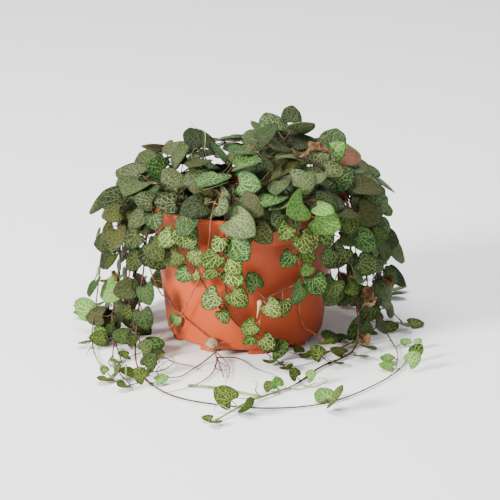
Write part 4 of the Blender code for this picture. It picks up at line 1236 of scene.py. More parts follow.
collar_share = (SOIL_TOP - SOIL_EDGE_DROP - LEDGE) / COLLAR_HEIGHT
soil_edge = mix(COLLAR_FOOT_RADIUS, RIM_RADIUS, collar_share) - WALL - FIT
low = floor_top + FIT
wall_section = [
    (soil_edge, SOIL_TOP - SOIL_EDGE_DROP),
    (COLLAR_FOOT_RADIUS - WALL - 2 * FIT, LEDGE + WALL + FIT),
    (body_radius(LEDGE, WALL + FIT) - FIT, LEDGE + WALL + FIT),
    (body_radius(low + CORNER_RADIUS, WALL + FIT), low + CORNER_RADIUS),
    (body_radius(low, WALL + FIT) - CORNER_RADIUS, low),
    (0, low)]
rings = [soil_edge * k / SOIL_RINGS for k in range(1, SOIL_RINGS)]
points = [Vector((0, 0, soil_height(0, 0, soil_edge)))]
faces = []
for k, radius in enumerate([*rings, *(radius for radius, _ in wall_section[:-1])]):
    for n in range(SOIL_SIDES):
        x, y, _ = at(360 * n / SOIL_SIDES, radius / MM, 0)
        on_top = k < len(rings)
        height = soil_height(x, y, soil_edge) if on_top else wall_section[k - len(rings)][1]
        points.append(Vector((x, y, height)))
        following = (n + 1) % SOIL_SIDES
        if k == 0:
            faces.append((0, 1 + n, 1 + following))
        else:
            inner, outer = 1 + (k - 1) * SOIL_SIDES, 1 + k * SOIL_SIDES
            faces.append((inner + n, outer + n, outer + following, inner + following))
last_ring = len(points) - SOIL_SIDES
points.append(Vector((0, 0, low)))
for n in range(SOIL_SIDES):
    faces.append((len(points) - 1, last_ring + (n + 1) % SOIL_SIDES, last_ring + n))
soil_mesh = bpy.data.meshes.new("soil_plug")
soil_mesh.from_pydata(points, [], faces)
soil_mesh.shade_smooth()
print("faces of the plug:", len(soil_mesh.polygons))

# %% Loose crumbs
CRUMB_COUNT = 620
CRUMB_SIZES = (0.0004, 0.0013)
CRUMB_EDGE = 0.002
CRUMB_LUMPS = 0.7
CRUMB_WIDTHS = (0.8, 1.6)
CRUMB_HEIGHTS = (0.5, 0.9)
CRUMB_LIFT = 0.2
NOISE_SPREAD = 5000

draw = random.Random("crumbs")
crumbs = bmesh.new()
for _ in range(CRUMB_COUNT):
    radius = (soil_edge - CRUMB_EDGE) * math.sqrt(draw.random())
    x, y, _ = at(draw.uniform(0, 360), radius / MM, 0)
    size = mix(*CRUMB_SIZES, draw.random() ** 2)
    crumb = bmesh.ops.create_icosphere(crumbs, subdivisions=2, radius=size)["verts"]
    shift = Vector((x, y, size)) * NOISE_SPREAD
    for vertex in crumb:
        vertex.co *= 1 + CRUMB_LUMPS * noise.noise(vertex.co / size + shift)
    form = (draw.uniform(*CRUMB_WIDTHS), 1, draw.uniform(*CRUMB_HEIGHTS))
    bmesh.ops.scale(crumbs, vec=form, verts=crumb)
    spin = Matrix.Rotation(draw.uniform(0, math.tau), 3, "Z")
    bmesh.ops.rotate(crumbs, matrix=spin, verts=crumb)
    height = soil_height(x, y, soil_edge) + CRUMB_LIFT * size
    bmesh.ops.translate(crumbs, vec=(x, y, height), verts=crumb)
crumb_mesh = mesh_of("soil_crumbs", crumbs)
print("crumbs:", CRUMB_COUNT)

# %% Peat
PEAT_DARK = (0.012, 0.008, 0.006, 1)
PEAT_BROWN = (0.060, 0.034, 0.020, 1)
PEAT_FIBRE = (0.13, 0.080, 0.045, 1)
PEAT_PATCHES = (1.1, 6, 0.38, 0.7)
FIBRE_STRETCH = (2.4, 0.35, 1)
FIBRES = (0.6, 2, 0.66, 0.74)
FIBRE_SHARE = 0.6
PEAT_GRAIN = (0.4, 5)
PEAT_RELIEF = 0.0004


def peat_finish():
    """Dark peat with brown crumbs and short pale fibres."""
    peat = Finish("peat", 0.95, 0.1)
    place = peat.place()
    colour = peat.mix(peat.patches(place, *PEAT_PATCHES), PEAT_DARK, PEAT_BROWN)
    fibres = peat.patches(peat.stretch(place, FIBRE_STRETCH), *FIBRES)
    colour = peat.mix(peat.times(fibres, FIBRE_SHARE), colour, PEAT_FIBRE)
    peat.bump(peat.noise(place, *PEAT_GRAIN), PEAT_RELIEF)
    return peat.colour(colour)


peat = peat_finish()
for piece in (link_mesh("soil_plug", soil_mesh, peat), link_mesh("soil_crumbs", crumb_mesh, peat)):
    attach(piece, "root")
    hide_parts("soil")
print("the soil's edge is at", round(soil_edge / MM, 1), "mm")

# %% [markdown]
# ## Stems and petioles
#
# The real stems are threads of a millimetre or less, purple-brown where they are old and pale green
# at the growing tips, a little swollen wherever a pair of leaves is joined. A curve object with a
# bevel sweeps a round section along a line, and each of its points carries its own radius, which is
# just what swellings and tapers need. All the threads of one stem go into one curve, which is then
# made a mesh.

# %% Threads swept along lines
THREAD_SIDES = 3


def threads(name, lines, materials):
    """A mesh of round threads: each line is a material's number and its points with their radii."""
    curve = bpy.data.curves.new(name, "CURVE")
    curve.dimensions = "3D"
    curve.bevel_depth = 1
    curve.bevel_resolution = THREAD_SIDES
    curve.use_fill_caps = True
    for material in materials:
        curve.materials.append(material)
    for slot, line in lines:
        spline = curve.splines.new("POLY")
        spline.points.add(len(line) - 1)
        spline.material_index = slot
        spline.use_smooth = True
        for corner, (point, radius) in zip(spline.points, line):
            corner.co = (*point, 1)
            corner.radius = radius
    carrier = bpy.data.objects.new(name, curve)
    bpy.context.scene.collection.objects.link(carrier)
    mesh = final_mesh(carrier)
    bpy.data.objects.remove(carrier)
    return link_mesh(name, mesh)


print("sides of a thread:", 4 + 2 * THREAD_SIDES)

# %% The line of a stem
SMOOTH_STEPS = 9
EASING_ROUNDS = 2
THREAD_RADIUS = 0.00046
TIP_SHARE = 0.72
SWELLING = 0.75
SWELLING_REACH = 0.0011


def eased(route):
    """A route with its kinks drawn out, its first two points and its last one kept."""
    for _ in range(EASING_ROUNDS):
        inner = [(a + 4 * b + c) / 6 for a, b, c in zip(route[1:], route[2:], route[3:])]
        route = [*route[:2], *inner, route[-1]]
    return route


def stem_line(route, joints, thickness):
    """A stem's smooth line with a radius at each point, thicker where leaves are joined to it."""
    line = [route[0], *smooth_curve(eased(route)[1:], SMOOTH_STEPS)]
    line = [line[0], line[1], *(clear_of_pot(point.copy()) for point in line[2:])]
    along = lengths_along(line)
    radii = []
    for point, distance in zip(line, along):
        radius = THREAD_RADIUS * thickness * mix(1.0, TIP_SHARE, distance / along[-1])
        nearest = min(((joint - point).length for joint in joints), default=math.inf)
        radii.append(radius * (1 + SWELLING * math.exp(-(nearest / SWELLING_REACH) ** 2)))
    return list(zip(line, radii))


sample = stem_line(routes["front_cluster"], [], 1.0)
print("points on one stem:", len(sample))

# %% The line of a petiole
PETIOLE_ROOT_RADIUS = 0.00042
PETIOLE_END_RADIUS = 0.00030
PETIOLE_MIDDLE = 0.45
PETIOLE_BOW = 0.10
BLADE_JOINT = 0.03
JOINT_SINK = 0.0001
LEAST_THICKNESS = 0.6
FULL_LEAF = 0.018


def tapered(line, first, last):
    """A line with radii that go evenly from the first to the last."""
    steps = len(line) - 1
    return [(point, mix(first, last, k / steps)) for k, point in enumerate(line)]


def leaf_root(leaf):
    """Where a leaf's petiole leaves the stem."""
    placing, _, _, _, petiole = leaf
    return placing @ Vector((-petiole, 0, 0))


def petiole_line(leaf, stem):
    """A petiole's line with radii, from the stem's own line into the base of the blade."""
    placing, length, _, _, petiole = leaf
    root = nearest_point([point for point, _ in stem], leaf_root(leaf))
    bend = placing @ Vector((-PETIOLE_MIDDLE * petiole, 0, -PETIOLE_BOW * petiole))
    end = placing @ Vector((BLADE_JOINT * length, 0, -JOINT_SINK))
    thickness = mix(LEAST_THICKNESS, 1.0, length / FULL_LEAF)
    line = smooth_curve([root, bend, end], 4)
    return tapered(line, PETIOLE_ROOT_RADIUS * thickness, PETIOLE_END_RADIUS * thickness)


print("points on a petiole:", len(petiole_line(grown["front_cluster"][0], sample)))

# %% [markdown]
# The threads come in four tones: dark purple-brown, tan-pink, grey-brown for the oldest, and pale
# green for young growth. The tan-pink goes to the stems in front where the light falls, partly
# their own colour and partly painted light. Each is mottled along its length, and has a waxy shine
# too weak to glitter.

# %% Finishes of the threads
THREAD_TONES = {
    "brown": ((0.030, 0.012, 0.008, 1), (0.085, 0.036, 0.024, 1)),
    "tan": ((0.12, 0.040, 0.022, 1), (0.27, 0.115, 0.065, 1)),
    "grey": ((0.05, 0.038, 0.024, 1), (0.12, 0.095, 0.062, 1)),
    "green": ((0.11, 0.14, 0.045, 1), (0.25, 0.28, 0.12, 1)),
}
THREAD_MOTTLE = (6, 3, 0.35, 0.65)
THREAD_GRAIN = (0.5, 2)
THREAD_RELIEF = 0.00006


def thread_finish(name):
    """A mottled waxy thread in one of the tones."""
    thread = Finish("thread_" + name, 0.55, 0.15)
    place = thread.place()
    colour = thread.mix(thread.patches(place, *THREAD_MOTTLE), *THREAD_TONES[name])
    thread.bump(thread.noise(place, *THREAD_GRAIN), THREAD_RELIEF)
    return thread.colour(colour)


thread_finishes = {name: thread_finish(name) for name in THREAD_TONES}
thread_order = list(THREAD_TONES)
print("tones of the threads:", thread_order)

# %% Which stem has which tone
# Tan goes to the stems in front: partly their own colour, partly painted light
STEM_TONES = {
    "front_left": "brown", "front_cluster": "brown", "front_crossing": "tan", "front_middle": "tan",
    "front_pink": "tan", "front_right": "tan", "front_long": "brown", "left_to_front": "tan",
    "left_outer": "grey", "left_far": "grey", "right_far": "grey",
}
GREEN_FROM = {
    "right_front": 0.195, "front_long": 0.372, "left_outer": 0.185, "left_far": 0.16,
    "right_middle": 0.165, "right_far": 0.15, "left_inner": 0.20,
}
STEM_THICKNESS = {"right_front": 1.5, "front_long": 1.1, "front_crossing": 0.8, "front_right": 0.85}


def split_at(line, distance):
    """A line cut in two at a distance from its start."""
    along = lengths_along([point for point, _ in line])
    k = next((k for k, reached in enumerate(along) if reached > distance), len(line) - 1)
    return line[:k + 1], line[k:]


print("stems that turn green towards the tip:", list(GREEN_FROM))

# %% [markdown]
# Between the leaves the stems carry small growth: spurs where a leaf has dropped or a shoot begins,
# and here and there a curled tendril. A seeded draw spreads the spurs over each stem, and the few
# tendrils that stand out are listed with their places in millimetres.

# %% Spurs and tendrils
SPUR_SPACING = (0.016, 0.045)
SPUR_LENGTHS = (0.0018, 0.0060)
SPUR_LEANS = (0.4, 1.2)
SPUR_LIFT = 0.3
SPUR_RADII = (0.000300, 0.000099)
TENDRIL_RADII = (0.000420, 0.0001386)
TENDRILS = {
    "crown_left": [
        ("green", [(-20, -2, 116), (-23, -2, 121), (-28, -1, 124), (-32, 0, 128)]),
        ("green", [(-22, -3, 116), (-28, -8, 114), (-31, -14, 110), (-25, -21, 106)])],
    "crown_right_back": [("green", [(38, 4, 108), (42, 4, 114), (47, 4, 118), (51, 5, 122)])],
    "crown_right": [("green", [(32, -22, 114), (38, -26, 116), (43, -26, 113), (44, -24, 109)])],
    "front_long": [
        ("green", [(-57, -76, 1), (-50, -75, 1), (-44, -75, 3), (-40, -75, 7), (-43, -75, 11),
                   (-48, -76, 10), (-50, -76, 6), (-46, -77, 2), (-41, -79, 1)])],
    "right_front": [
        ("green", [(24, -104, 1), (32, -107, 2), (38, -104, 4), (41, -100, 3)]),
        ("green", [(3, -118, 1), (-3, -122, 2), (-9, -121, 4)]),
        ("green", [(-9, -141, 3), (-14, -140, 5), (-17, -143, 3)]),
        ("green", [(7, -117, 1), (6, -110, 2), (7, -104, 4), (5, -99, 4)]),
        ("green", [(19, -107, 1), (17, -99, 2), (18, -93, 4), (15, -89, 3)]),
        ("green", [(30, -96, 1), (37, -101, 1), (44, -98, 2), (46, -91, 2), (41, -89, 2)])],
    "right_middle": [("green", [(84, -34, 1), (92, -28, 2), (97, -18, 1), (98, -8, 1)])],
    "left_outer": [("green", [(-84, -34, 1), (-90, -40, 2), (-92, -48, 1)])],
    "left_to_front": [
        ("brown", [(-14, -58, 2), (-6, -54, 2), (0, -58, 1), (6, -70, 1), (17, -81, 1)]),
        ("tan", [(-18, -54, 6), (-13, -57, 3), (-9, -66, 1), (-9, -80, 1), (-11, -92, 1)]),
        ("brown", [(-18, -54, 6), (-16, -59, 2), (-17, -68, 1), (-13, -76, 2), (-8, -70, 1)]),
        ("brown", [(-18, -54, 4), (-24, -60, 1), (-28, -68, 1), (-35, -82, 1), (-41, -88, 2),
                   (-47, -84, 1), (-50, -74, 1), (-48, -64, 1), (-43, -60, 2), (-38, -68, 1)]),
        ("brown", [(-15, -60, 2), (-18, -76, 1), (-24, -92, 1), (-34, -104, 1), (-45, -111, 1)])],
    "left_near": [
        ("brown", [(-56, -48, 1), (-48, -52, 2), (-40, -60, 1), (-30, -66, 1), (-24, -75, 1)]),
        ("grey", [(-54, -50, 1), (-49, -58, 1), (-52, -67, 2), (-60, -70, 1), (-66, -78, 1)])],
    "left_inner": [("grey", [(-72, -50, 1), (-78, -60, 1), (-74, -72, 2), (-68, -80, 1)])],
    "right_near": [
        ("brown", [(52, -38, 1), (44, -47, 1), (40, -58, 1), (30, -66, 1), (22, -66, 2)])],
}


def spurs(name, stem):
    """Short curved spurs at random places along a stem."""
    draw = random.Random(name + " spurs")
    points = [point for point, _ in stem]
    total = lengths_along(points)[-1]
    distance = 2 * ROOT_DEPTH
    found = []
    while distance < total:
        start, along = point_along(points, distance)
        aside = along.cross(Vector([draw.gauss(0, 1) for _ in range(3)])).normalized()
        length = mix(*SPUR_LENGTHS, draw.random() ** 2)
        middle = start + (aside + SPUR_LEANS[0] * along) * length / 2
        end = start + (aside + SPUR_LEANS[1] * along + Vector((0, 0, SPUR_LIFT))) * length
        line = smooth_curve([start, clear_of_pot(middle), clear_of_pot(end)], 3)
        found.append(tapered(line, *SPUR_RADII))
        distance += draw.uniform(*SPUR_SPACING)
    return found


def tendrils(name, stem):
    """The listed tendrils of a stem, each starting on the stem."""
    found = []
    for tone, places in TENDRILS.get(name, []):
        start = nearest_point([point for point, _ in stem], Vector(places[0]) * MM)
        line = [start, *(clear_of_pot(Vector(place) * MM) for place in places[1:])]
        curve = tapered(smooth_curve(line, 5), *TENDRIL_RADII)
        found.append((thread_order.index(tone), curve))
    return found


print("spurs on one stem:", len(spurs("front_cluster", sample)))

# %% Sweep every stem
BRANCH_RADIUS = 0.00075

green = thread_order.index("green")
for name, route in routes.items():
    joints = [leaf_root(leaf) for leaf in grown[name]]
    stem = stem_line(route, joints, STEM_THICKNESS.get(name, 1.0))
    tone = thread_order.index(STEM_TONES.get(name, "brown"))
    older, younger = split_at(stem, GREEN_FROM.get(name, math.inf))
    lines = [(tone, older)]
    if len(younger) > 1:
        lines.append((green, younger))
    for leaf in grown[name]:
        petiole = petiole_line(leaf, stem)
        young = any((petiole[0][0] - point).length < FIT for point, _ in younger)
        lines.append((green if young and len(younger) > 1 else tone, petiole))
    for branch in branch_routes(name, route):
        lines.append((green, [(point, BRANCH_RADIUS) for point in smooth_curve(branch, 3)]))
    lines += [(tone, spur) for spur in spurs(name, older)]
    lines += [(green, spur) for spur in spurs(name, younger) if len(younger) > 1]
    lines += tendrils(name, stem)
    piece = threads(name + "_stem", lines, list(thread_finishes.values()))
    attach(piece, "root")
    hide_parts(name)
print("stems swept:", len(routes))

# %% [markdown]
# ## The blades
#
# A leaf of a string of hearts is a fleshy heart, wide for its length, about 1 mm thick with a round
# edge. It is cupped or drooping, with a faint wave in its rim and a groove over its midrib. The
# coarse leaf gave the heart's outline, cup and droop, and the fine one keeps all three. It is built
# as rings that shrink from the rim to the middle, once for the upper skin and once for the lower,
# and each point also stores its place on the blade in millimetres, so that the veins can be drawn
# there. No leaf reaches out of the plant's measured box.

# %% Rings of a blade
SIDE_STEPS = 18
RING_SHARES = (0.26, 0.50, 0.70, 0.86, 0.96)
SKIN_DEPTH = (0.00024, 0.0125)
EDGE_FULLNESS = 5
GROOVE = 0.00016
GROOVE_REACH = 0.0008
WAVE = 0.016
WAVE_SHARES = (0.3, 1)
TIP_TURN = 0.95
TIP_POINT = 0.55
NOTCH_CROWDING = 1.25

turns = [math.pi * (k / SIDE_STEPS) ** NOTCH_CROWDING for k in range(SIDE_STEPS + 1)]
rim = []
for turn in turns:
    along, across = outline(turn)
    rim.append((along, across * min(1.0, (math.pi - turn) / TIP_TURN) ** TIP_POINT))
rim += [(along, -across) for along, across in reversed(rim[1:-1])]
ring_shares = [0.0, *RING_SHARES, 1.0]
flat_blade = []
for share in ring_shares:
    for along, across in rim:
        flat_blade.append((mix(BLADE_CENTRE, along, share), across * share, share))
flat_blade = np.array(flat_blade[len(rim) - 1:])
print("points of one skin:", len(flat_blade))

# %% Faces of a blade
def blade_faces():
    """Faces of the upper skin, then of the lower one, which share the rim."""
    count, ring_count = len(rim), len(ring_shares) - 1
    size = 1 + count * ring_count
    upper = [(0, 1 + k, 1 + (k + 1) % count) for k in range(count)]
    for ring in range(ring_count - 1):
        first, second = 1 + ring * count, 1 + (ring + 1) * count
        for k in range(count):
            after = (k + 1) % count
            upper.append((first + k, second + k, second + after, first + after))
    rim_start = size - count
    below = {k: k + size for k in range(rim_start)}
    lower = [tuple(below.get(corner, corner) for corner in reversed(face)) for face in upper]
    return upper, lower


UPPER, LOWER = blade_faces()
print("faces of a blade:", len(UPPER) + len(LOWER))

# %% A blade in its place
def fine_blade(leaf, draw, waves=1.0):
    """Points of a leaf's two skins in place, and where on the blade each of them lies."""
    placing, length, cup, droop, _ = leaf
    along, across, share = flat_blade.T
    height = cup * across**2 - droop * np.maximum(along, 0.0) ** 2
    turn = np.arctan2(across, along - BLADE_CENTRE)
    wave = waves * WAVE * draw.uniform(*WAVE_SHARES)
    height = height + wave * share**2 * np.sin((1 + waves) * turn + draw.uniform(0, math.tau))
    height = height * length
    skin = (SKIN_DEPTH[0] + SKIN_DEPTH[1] * length) * np.sqrt(1 - share**EDGE_FULLNESS)
    near_midrib = np.exp(-(across * length / GROOVE_REACH) ** 2) * (1 - share)
    upper = height + skin - GROOVE * near_midrib
    lower = height - skin - GROOVE * near_midrib
    inner = len(along) - len(rim)
    x = np.concatenate([along, along[:inner]]) * length
    y = np.concatenate([across, across[:inner]]) * length
    z = np.concatenate([upper, lower[:inner]])
    matrix = np.array(placing)
    points = np.stack([x, y, z, np.ones_like(x)], axis=1) @ matrix.T
    on_blade = np.stack([x / MM, y / MM, np.concatenate([share, share[:inner]])], axis=1)
    return np.clip(points[:, :3], *cad_box), on_blade


print("points of one leaf:", len(fine_blade(grown["front_cluster"][0], random.Random(1))[0]))

# %% [markdown]
# ## What colour each leaf has
#
# On the mound the leaves are old, greyish and finely netted. Those in front of the pot are brighter
# and more yellow, and the small ones at the growing tips are a clear light green. A few are dried
# to brown. Those at the sides and on the left of the mound get dark tones that stand for the shade
# they lie in, and the darkest flesh tones on the mound and in front stand partly for the shadows
# between the leaves: painted shade. Each leaf takes its place's tones and mixes them by its own
# seeded draws, so no two are alike and every run gives the same plant.

# %% Tones of the leaves
# Each place's darkest and lightest flesh, then its dullest and brightest net. The dark tones of the
# sides and of the mound's left shoulder, and the darkest flesh on the mound and in front, are
# partly painted shade
LEAF_TONES = {
    "mound": (
        (0.013, 0.022, 0.006), (0.060, 0.084, 0.028), (0.078, 0.108, 0.042), (0.20, 0.24, 0.11)),
    "shoulder": (
        (0.008, 0.014, 0.003), (0.036, 0.052, 0.014), (0.052, 0.072, 0.025), (0.15, 0.18, 0.08)),
    "front": (
        (0.006, 0.019, 0.001), (0.028, 0.058, 0.003), (0.16, 0.25, 0.045), (0.37, 0.47, 0.13)),
    "left": (
        (0.002, 0.006, 0.000), (0.008, 0.015, 0.000), (0.028, 0.042, 0.003), (0.08, 0.11, 0.014)),
    "right": (
        (0.007, 0.015, 0.001), (0.023, 0.043, 0.005), (0.05, 0.078, 0.014), (0.16, 0.21, 0.065)),
    "back": (
        (0.010, 0.017, 0.004), (0.030, 0.045, 0.012), (0.055, 0.08, 0.026), (0.14, 0.18, 0.065)),
    "floor": (
        (0.008, 0.020, 0.001), (0.030, 0.052, 0.003), (0.08, 0.12, 0.018), (0.22, 0.29, 0.07)),
}
YOUNG_LEAF = 0.0082
YOUNG_SHARE = 0.5
MOUND_START = POT_HEIGHT - 0.001
# Mound leaves left of this x take the shoulder's darker tones: painted shade
SHOULDER_START = -0.022
YOUNG_FLESH = ((0.034, 0.108, 0.010), (0.070, 0.17, 0.024))
YOUNG_NET = ((0.15, 0.29, 0.06), (0.26, 0.40, 0.13))
OLIVE = (0.036, 0.034, 0.009)
OLIVE_SHARE = 0.12
EMERALD = (0.008, 0.040, 0.008)
EMERALD_NET = (0.19, 0.33, 0.09)
EMERALD_SHARE = 0.32
TINT_SHARES = (0.4, 0.9)
PINK_FLESH = (0.16, 0.065, 0.032)
PINK_NET = (0.27, 0.13, 0.075)
FRONT_HALF_WIDTH = math.radians(44)
SIDE_END = math.radians(135)


def place_of(point):
    """Which part of the plant a leaf at a point belongs to."""
    if point.z > MOUND_START:
        return "shoulder" if point.x < SHOULDER_START else "mound"
    if point.z < LYING_TOP:
        return "floor"
    azimuth = math.atan2(point.x, -point.y)
    if abs(azimuth) < FRONT_HALF_WIDTH:
        return "front"
    if abs(azimuth) > SIDE_END:
        return "back"
    return "right" if azimuth > 0 else "left"


places = [place_of(leaf[0].translation) for leaves in grown.values() for leaf in leaves]
print("leaves in each place:", {place: places.count(place) for place in LEAF_TONES})

# %% Choosing a leaf's look
NETTED, UNDERSIDE, DRY = range(3)


def blend(first, second, share):
    """A colour between two colours."""
    return tuple(mix(a, b, share) for a, b in zip(first, second))


def leaf_look(leaf, draw, kind=None):
    """The finish of a leaf's upper skin, and its flesh and net colours."""
    tones = LEAF_TONES[place_of(leaf[0].translation)]
    flesh = blend(tones[0], tones[1], draw.random())
    net = blend(tones[2], tones[3], draw.random())
    if draw.random() < OLIVE_SHARE:
        flesh = blend(flesh, OLIVE, draw.uniform(*TINT_SHARES))
    elif draw.random() < EMERALD_SHARE:
        flesh = blend(flesh, EMERALD, draw.uniform(*TINT_SHARES))
    young = leaf[1] < YOUNG_LEAF and draw.random() < YOUNG_SHARE
    if kind == "vivid" or (young and kind is None):
        flesh = blend(*YOUNG_FLESH, draw.random())
        net = blend(*YOUNG_NET, draw.random())
    if kind == "dark":
        flesh = tones[0]
        net = blend(flesh, tones[2], draw.uniform(0.5, 1.0))
    if kind == "pale":
        flesh = tones[1]
        net = blend(tones[2], tones[3], draw.uniform(0.9, 1.1))
    if kind == "olive":
        flesh = blend(OLIVE, flesh, draw.uniform(0.0, 0.3))
        net = blend(OLIVE, net, draw.uniform(0.3, 0.5))
    if kind == "emerald":
        flesh = blend(EMERALD, flesh, draw.uniform(0.0, 0.3))
        net = blend(EMERALD_NET, net, draw.uniform(0.0, 0.4))
    if kind == "pink":
        flesh = PINK_FLESH
        net = PINK_NET
    return (DRY if kind == "dry" else NETTED), flesh, net


print("shares of olive and emerald leaves:", OLIVE_SHARE, EMERALD_SHARE)

# %% [markdown]
# ## The netted skin
#
# The marbling is the leaf's fingerprint: pale lines under half a millimetre wide that enclose green
# cells of two to three millimetres, and a few stronger veins that fan out from the notch. Painted
# images would repeat, so the net is drawn by nodes. A Voronoi texture gives the distance to the
# edges of random cells, noise bends them, and a small sum in polar coordinates round the notch
# gives the fanned veins. The cells swell a little and the veins lie in grooves, which the bump
# follows.

# %% The net, the veins and the rim
NET_CELL = 2.3
FINE_CELL = 0.5 * NET_CELL
NET_SPREAD = (0.8, 0.5)
NET_BEND = 1.3
BEND_NOISE = (2.2, 2)
DRAW_SHIFT = 90
VEIN_BEARINGS = (0.52, 1.08, 1.75)
VEIN_CURL = 0.022

# Where the lines of the net, the veins and the rim's band end and begin, and how strong they are
NET_LINE = (0.095, 0.02)
FINE_LINE = (0.18, 0.03)
FINE_SHARE = 0.22
HALO_LINE = (0.30, 0.05)
HALO_SHARE = 0.10
NET_PATCHES = (2.6, 3, 0.36, 0.6)
NET_FADING = (0.3, 0.7)
NET_END = (1.0, 0.86)
VEIN_LINE = (0.28, 0.07)
VEIN_END = (0.95, 0.35)
RIM_BAND = (0.90, 0.98)
RIM_SHARE = 0.6
RIM_SHADE = (0.75, 0.85, 0.7, 1)
MOTTLE = (1.7, 4)
MOTTLE_DEPTH = (0.3, 0.75)
MOTTLE_AREA = (0.35, 0.7)
MOTTLE_SHARE = 0.5
MOTTLE_SHADE = (0.55, 0.6, 0.5, 1)
STAINS = (3.2, 3, 0.6, 0.72)
WORN_LEAVES = (0.72, 1.0)
STAIN_SHARE = 0.7
STAIN = (0.13, 0.075, 0.035, 1)
CELL_SWELL = (0.0, 0.35)
VEIN_GROOVE = 0.6
NET_RELIEF = 0.00016
SKIN_ROUGHNESS = (0.40, 0.16)
print("cells of the net in mm:", NET_CELL, "and", FINE_CELL)

# %% The netted upper skin
def fanned_veins(skin, along, across):
    """Distance in millimetres from the midrib and the veins that fan out from the notch."""
    squares = skin.plus(skin.math("POWER", along, 2), skin.math("POWER", across, 2))
    reach = skin.math("POWER", squares, 0.5)
    aside = skin.math("ABSOLUTE", across)
    bearing = skin.math("ARCTAN2", aside, along)
    nearest = aside
    for start in VEIN_BEARINGS:
        bent = skin.math("SUBTRACT", start, skin.times(reach, VEIN_CURL * start))
        off = skin.math("ABSOLUTE", skin.math("SUBTRACT", bearing, bent))
        nearest = skin.math("MINIMUM", nearest, skin.times(off, reach))
    return nearest


def netted_skin():
    """The upper skin: green cells in a pale net, with stronger veins from the notch."""
    skin = Finish("netted_skin", 0.46, 0.12)
    blade = skin.stored("blade")
    along, across, share = skin.parts(blade)
    shift = skin.stored("leaf_draw")
    _, worn, coarse = skin.parts(shift)
    place = skin.move(blade, skin.grow(shift, DRAW_SHIFT))
    bend = skin.move(skin.noise(place, *BEND_NOISE, 1), (-0.5, -0.5, -0.5))
    bent = skin.move(place, skin.grow(bend, NET_BEND))
    bent = skin.grow(bent, skin.scaled(coarse, *NET_SPREAD))
    edges = skin.cracks(bent, NET_CELL)
    fine_edges = skin.cracks(bent, FINE_CELL)
    net = skin.step(edges, *NET_LINE)
    fine_net = skin.times(skin.step(fine_edges, *FINE_LINE), FINE_SHARE)
    patches = skin.scaled(skin.patches(place, *NET_PATCHES), *NET_FADING)
    net = skin.times(skin.math("MAXIMUM", net, fine_net), patches)
    net = skin.times(net, skin.step(share, *NET_END))
    nearest = fanned_veins(skin, along, across)
    veins = skin.times(skin.step(nearest, *VEIN_LINE), skin.step(share, *VEIN_END))
    lines = skin.math("MAXIMUM", net, veins)
    halo = skin.times(skin.step(edges, *HALO_LINE), HALO_SHARE)
    marks = skin.math("MAXIMUM", lines, halo)
    mottle = skin.noise(place, *MOTTLE)
    own_flesh = skin.stored("flesh", "Color")
    deep = skin.step(mottle, *MOTTLE_DEPTH)
    shaded = skin.mix(deep, own_flesh, MOTTLE_SHADE, "MULTIPLY")
    area = skin.times(skin.step(mottle, *MOTTLE_AREA), MOTTLE_SHARE)
    flesh = skin.mix(area, own_flesh, shaded)
    colour = skin.mix(marks, flesh, skin.stored("net", "Color"))
    edge = skin.times(skin.step(share, *RIM_BAND), RIM_SHARE)
    colour = skin.mix(edge, colour, skin.mix(1.0, own_flesh, RIM_SHADE, "MULTIPLY"))
    stains = skin.times(skin.patches(place, *STAINS), skin.step(worn, *WORN_LEAVES))
    colour = skin.mix(skin.times(stains, STAIN_SHARE), colour, STAIN)
    swell = skin.step(edges, *CELL_SWELL)
    skin.bump(skin.math("SUBTRACT", swell, skin.times(veins, VEIN_GROOVE)), NET_RELIEF)
    skin.put(skin.shader.inputs["Roughness"], skin.scaled(mottle, *SKIN_ROUGHNESS))
    return skin.colour(colour)


netted = netted_skin()
print("nodes in the netted skin:", len(netted.node_tree.nodes))

# %% The underside and the dried leaf
UNDER_GREEN = (0.10, 0.15, 0.055, 1)
UNDER_PINK = (0.15, 0.07, 0.05, 1)
DRY_DARK = (0.035, 0.017, 0.008, 1)
DRY_LIGHT = (0.20, 0.105, 0.050, 1)
UNDER_SHIFT = 70
PINK_LEAVES = (0.6, 1.0)
UNDER_FLESH = 0.45
UNDER_MOTTLE = (2.4, 4, 0.35, 0.7)
UNDER_SHADES = ((0.8, 0.8, 0.8, 1), (1.1, 1.1, 1.1, 1))
RIB_LINE = (0.4, 0.1)
RIB_END = (1.0, 0.5)
RIB_SHARE = 0.3
RIB_TONE = (0.42, 0.45, 0.28, 1)
RIB_RELIEF = 0.00012
UNDER_RIM = (0.93, 0.99)
UNDER_RIM_SHARE = 0.55
DRY_SHIFT = 50
DRY_PATCHES = (3.0, 4, 0.35, 0.68)
CREASE_CELL = 1.2
CREASE_LINE = (0.0, 0.3)
DRY_GRAIN = (0.8, 3)
DRY_RELIEF = 0.0004


def underside_skin():
    """The lower skin: matt pale green to brownish pink, with the veins as low ribs."""
    skin = Finish("underside_skin", 0.6, 0.12)
    blade = skin.stored("blade")
    along, across, share = skin.parts(blade)
    shift = skin.stored("leaf_draw")
    own, _, _ = skin.parts(shift)
    place = skin.move(blade, skin.grow(shift, UNDER_SHIFT))
    tone = skin.mix(skin.step(own, *PINK_LEAVES), UNDER_GREEN, UNDER_PINK)
    tone = skin.mix(UNDER_FLESH, tone, skin.stored("flesh", "Color"))
    mottled = skin.mix(skin.patches(place, *UNDER_MOTTLE), *UNDER_SHADES)
    tone = skin.mix(1.0, tone, mottled, "MULTIPLY")
    ribs = skin.step(fanned_veins(skin, along, across), *RIB_LINE)
    ribs = skin.times(ribs, skin.step(share, *RIB_END))
    tone = skin.mix(skin.times(ribs, RIB_SHARE), tone, RIB_TONE)
    edge = skin.times(skin.step(share, *UNDER_RIM), UNDER_RIM_SHARE)
    tone = skin.mix(edge, tone, skin.stored("net", "Color"))
    skin.bump(ribs, RIB_RELIEF)
    return skin.colour(tone)


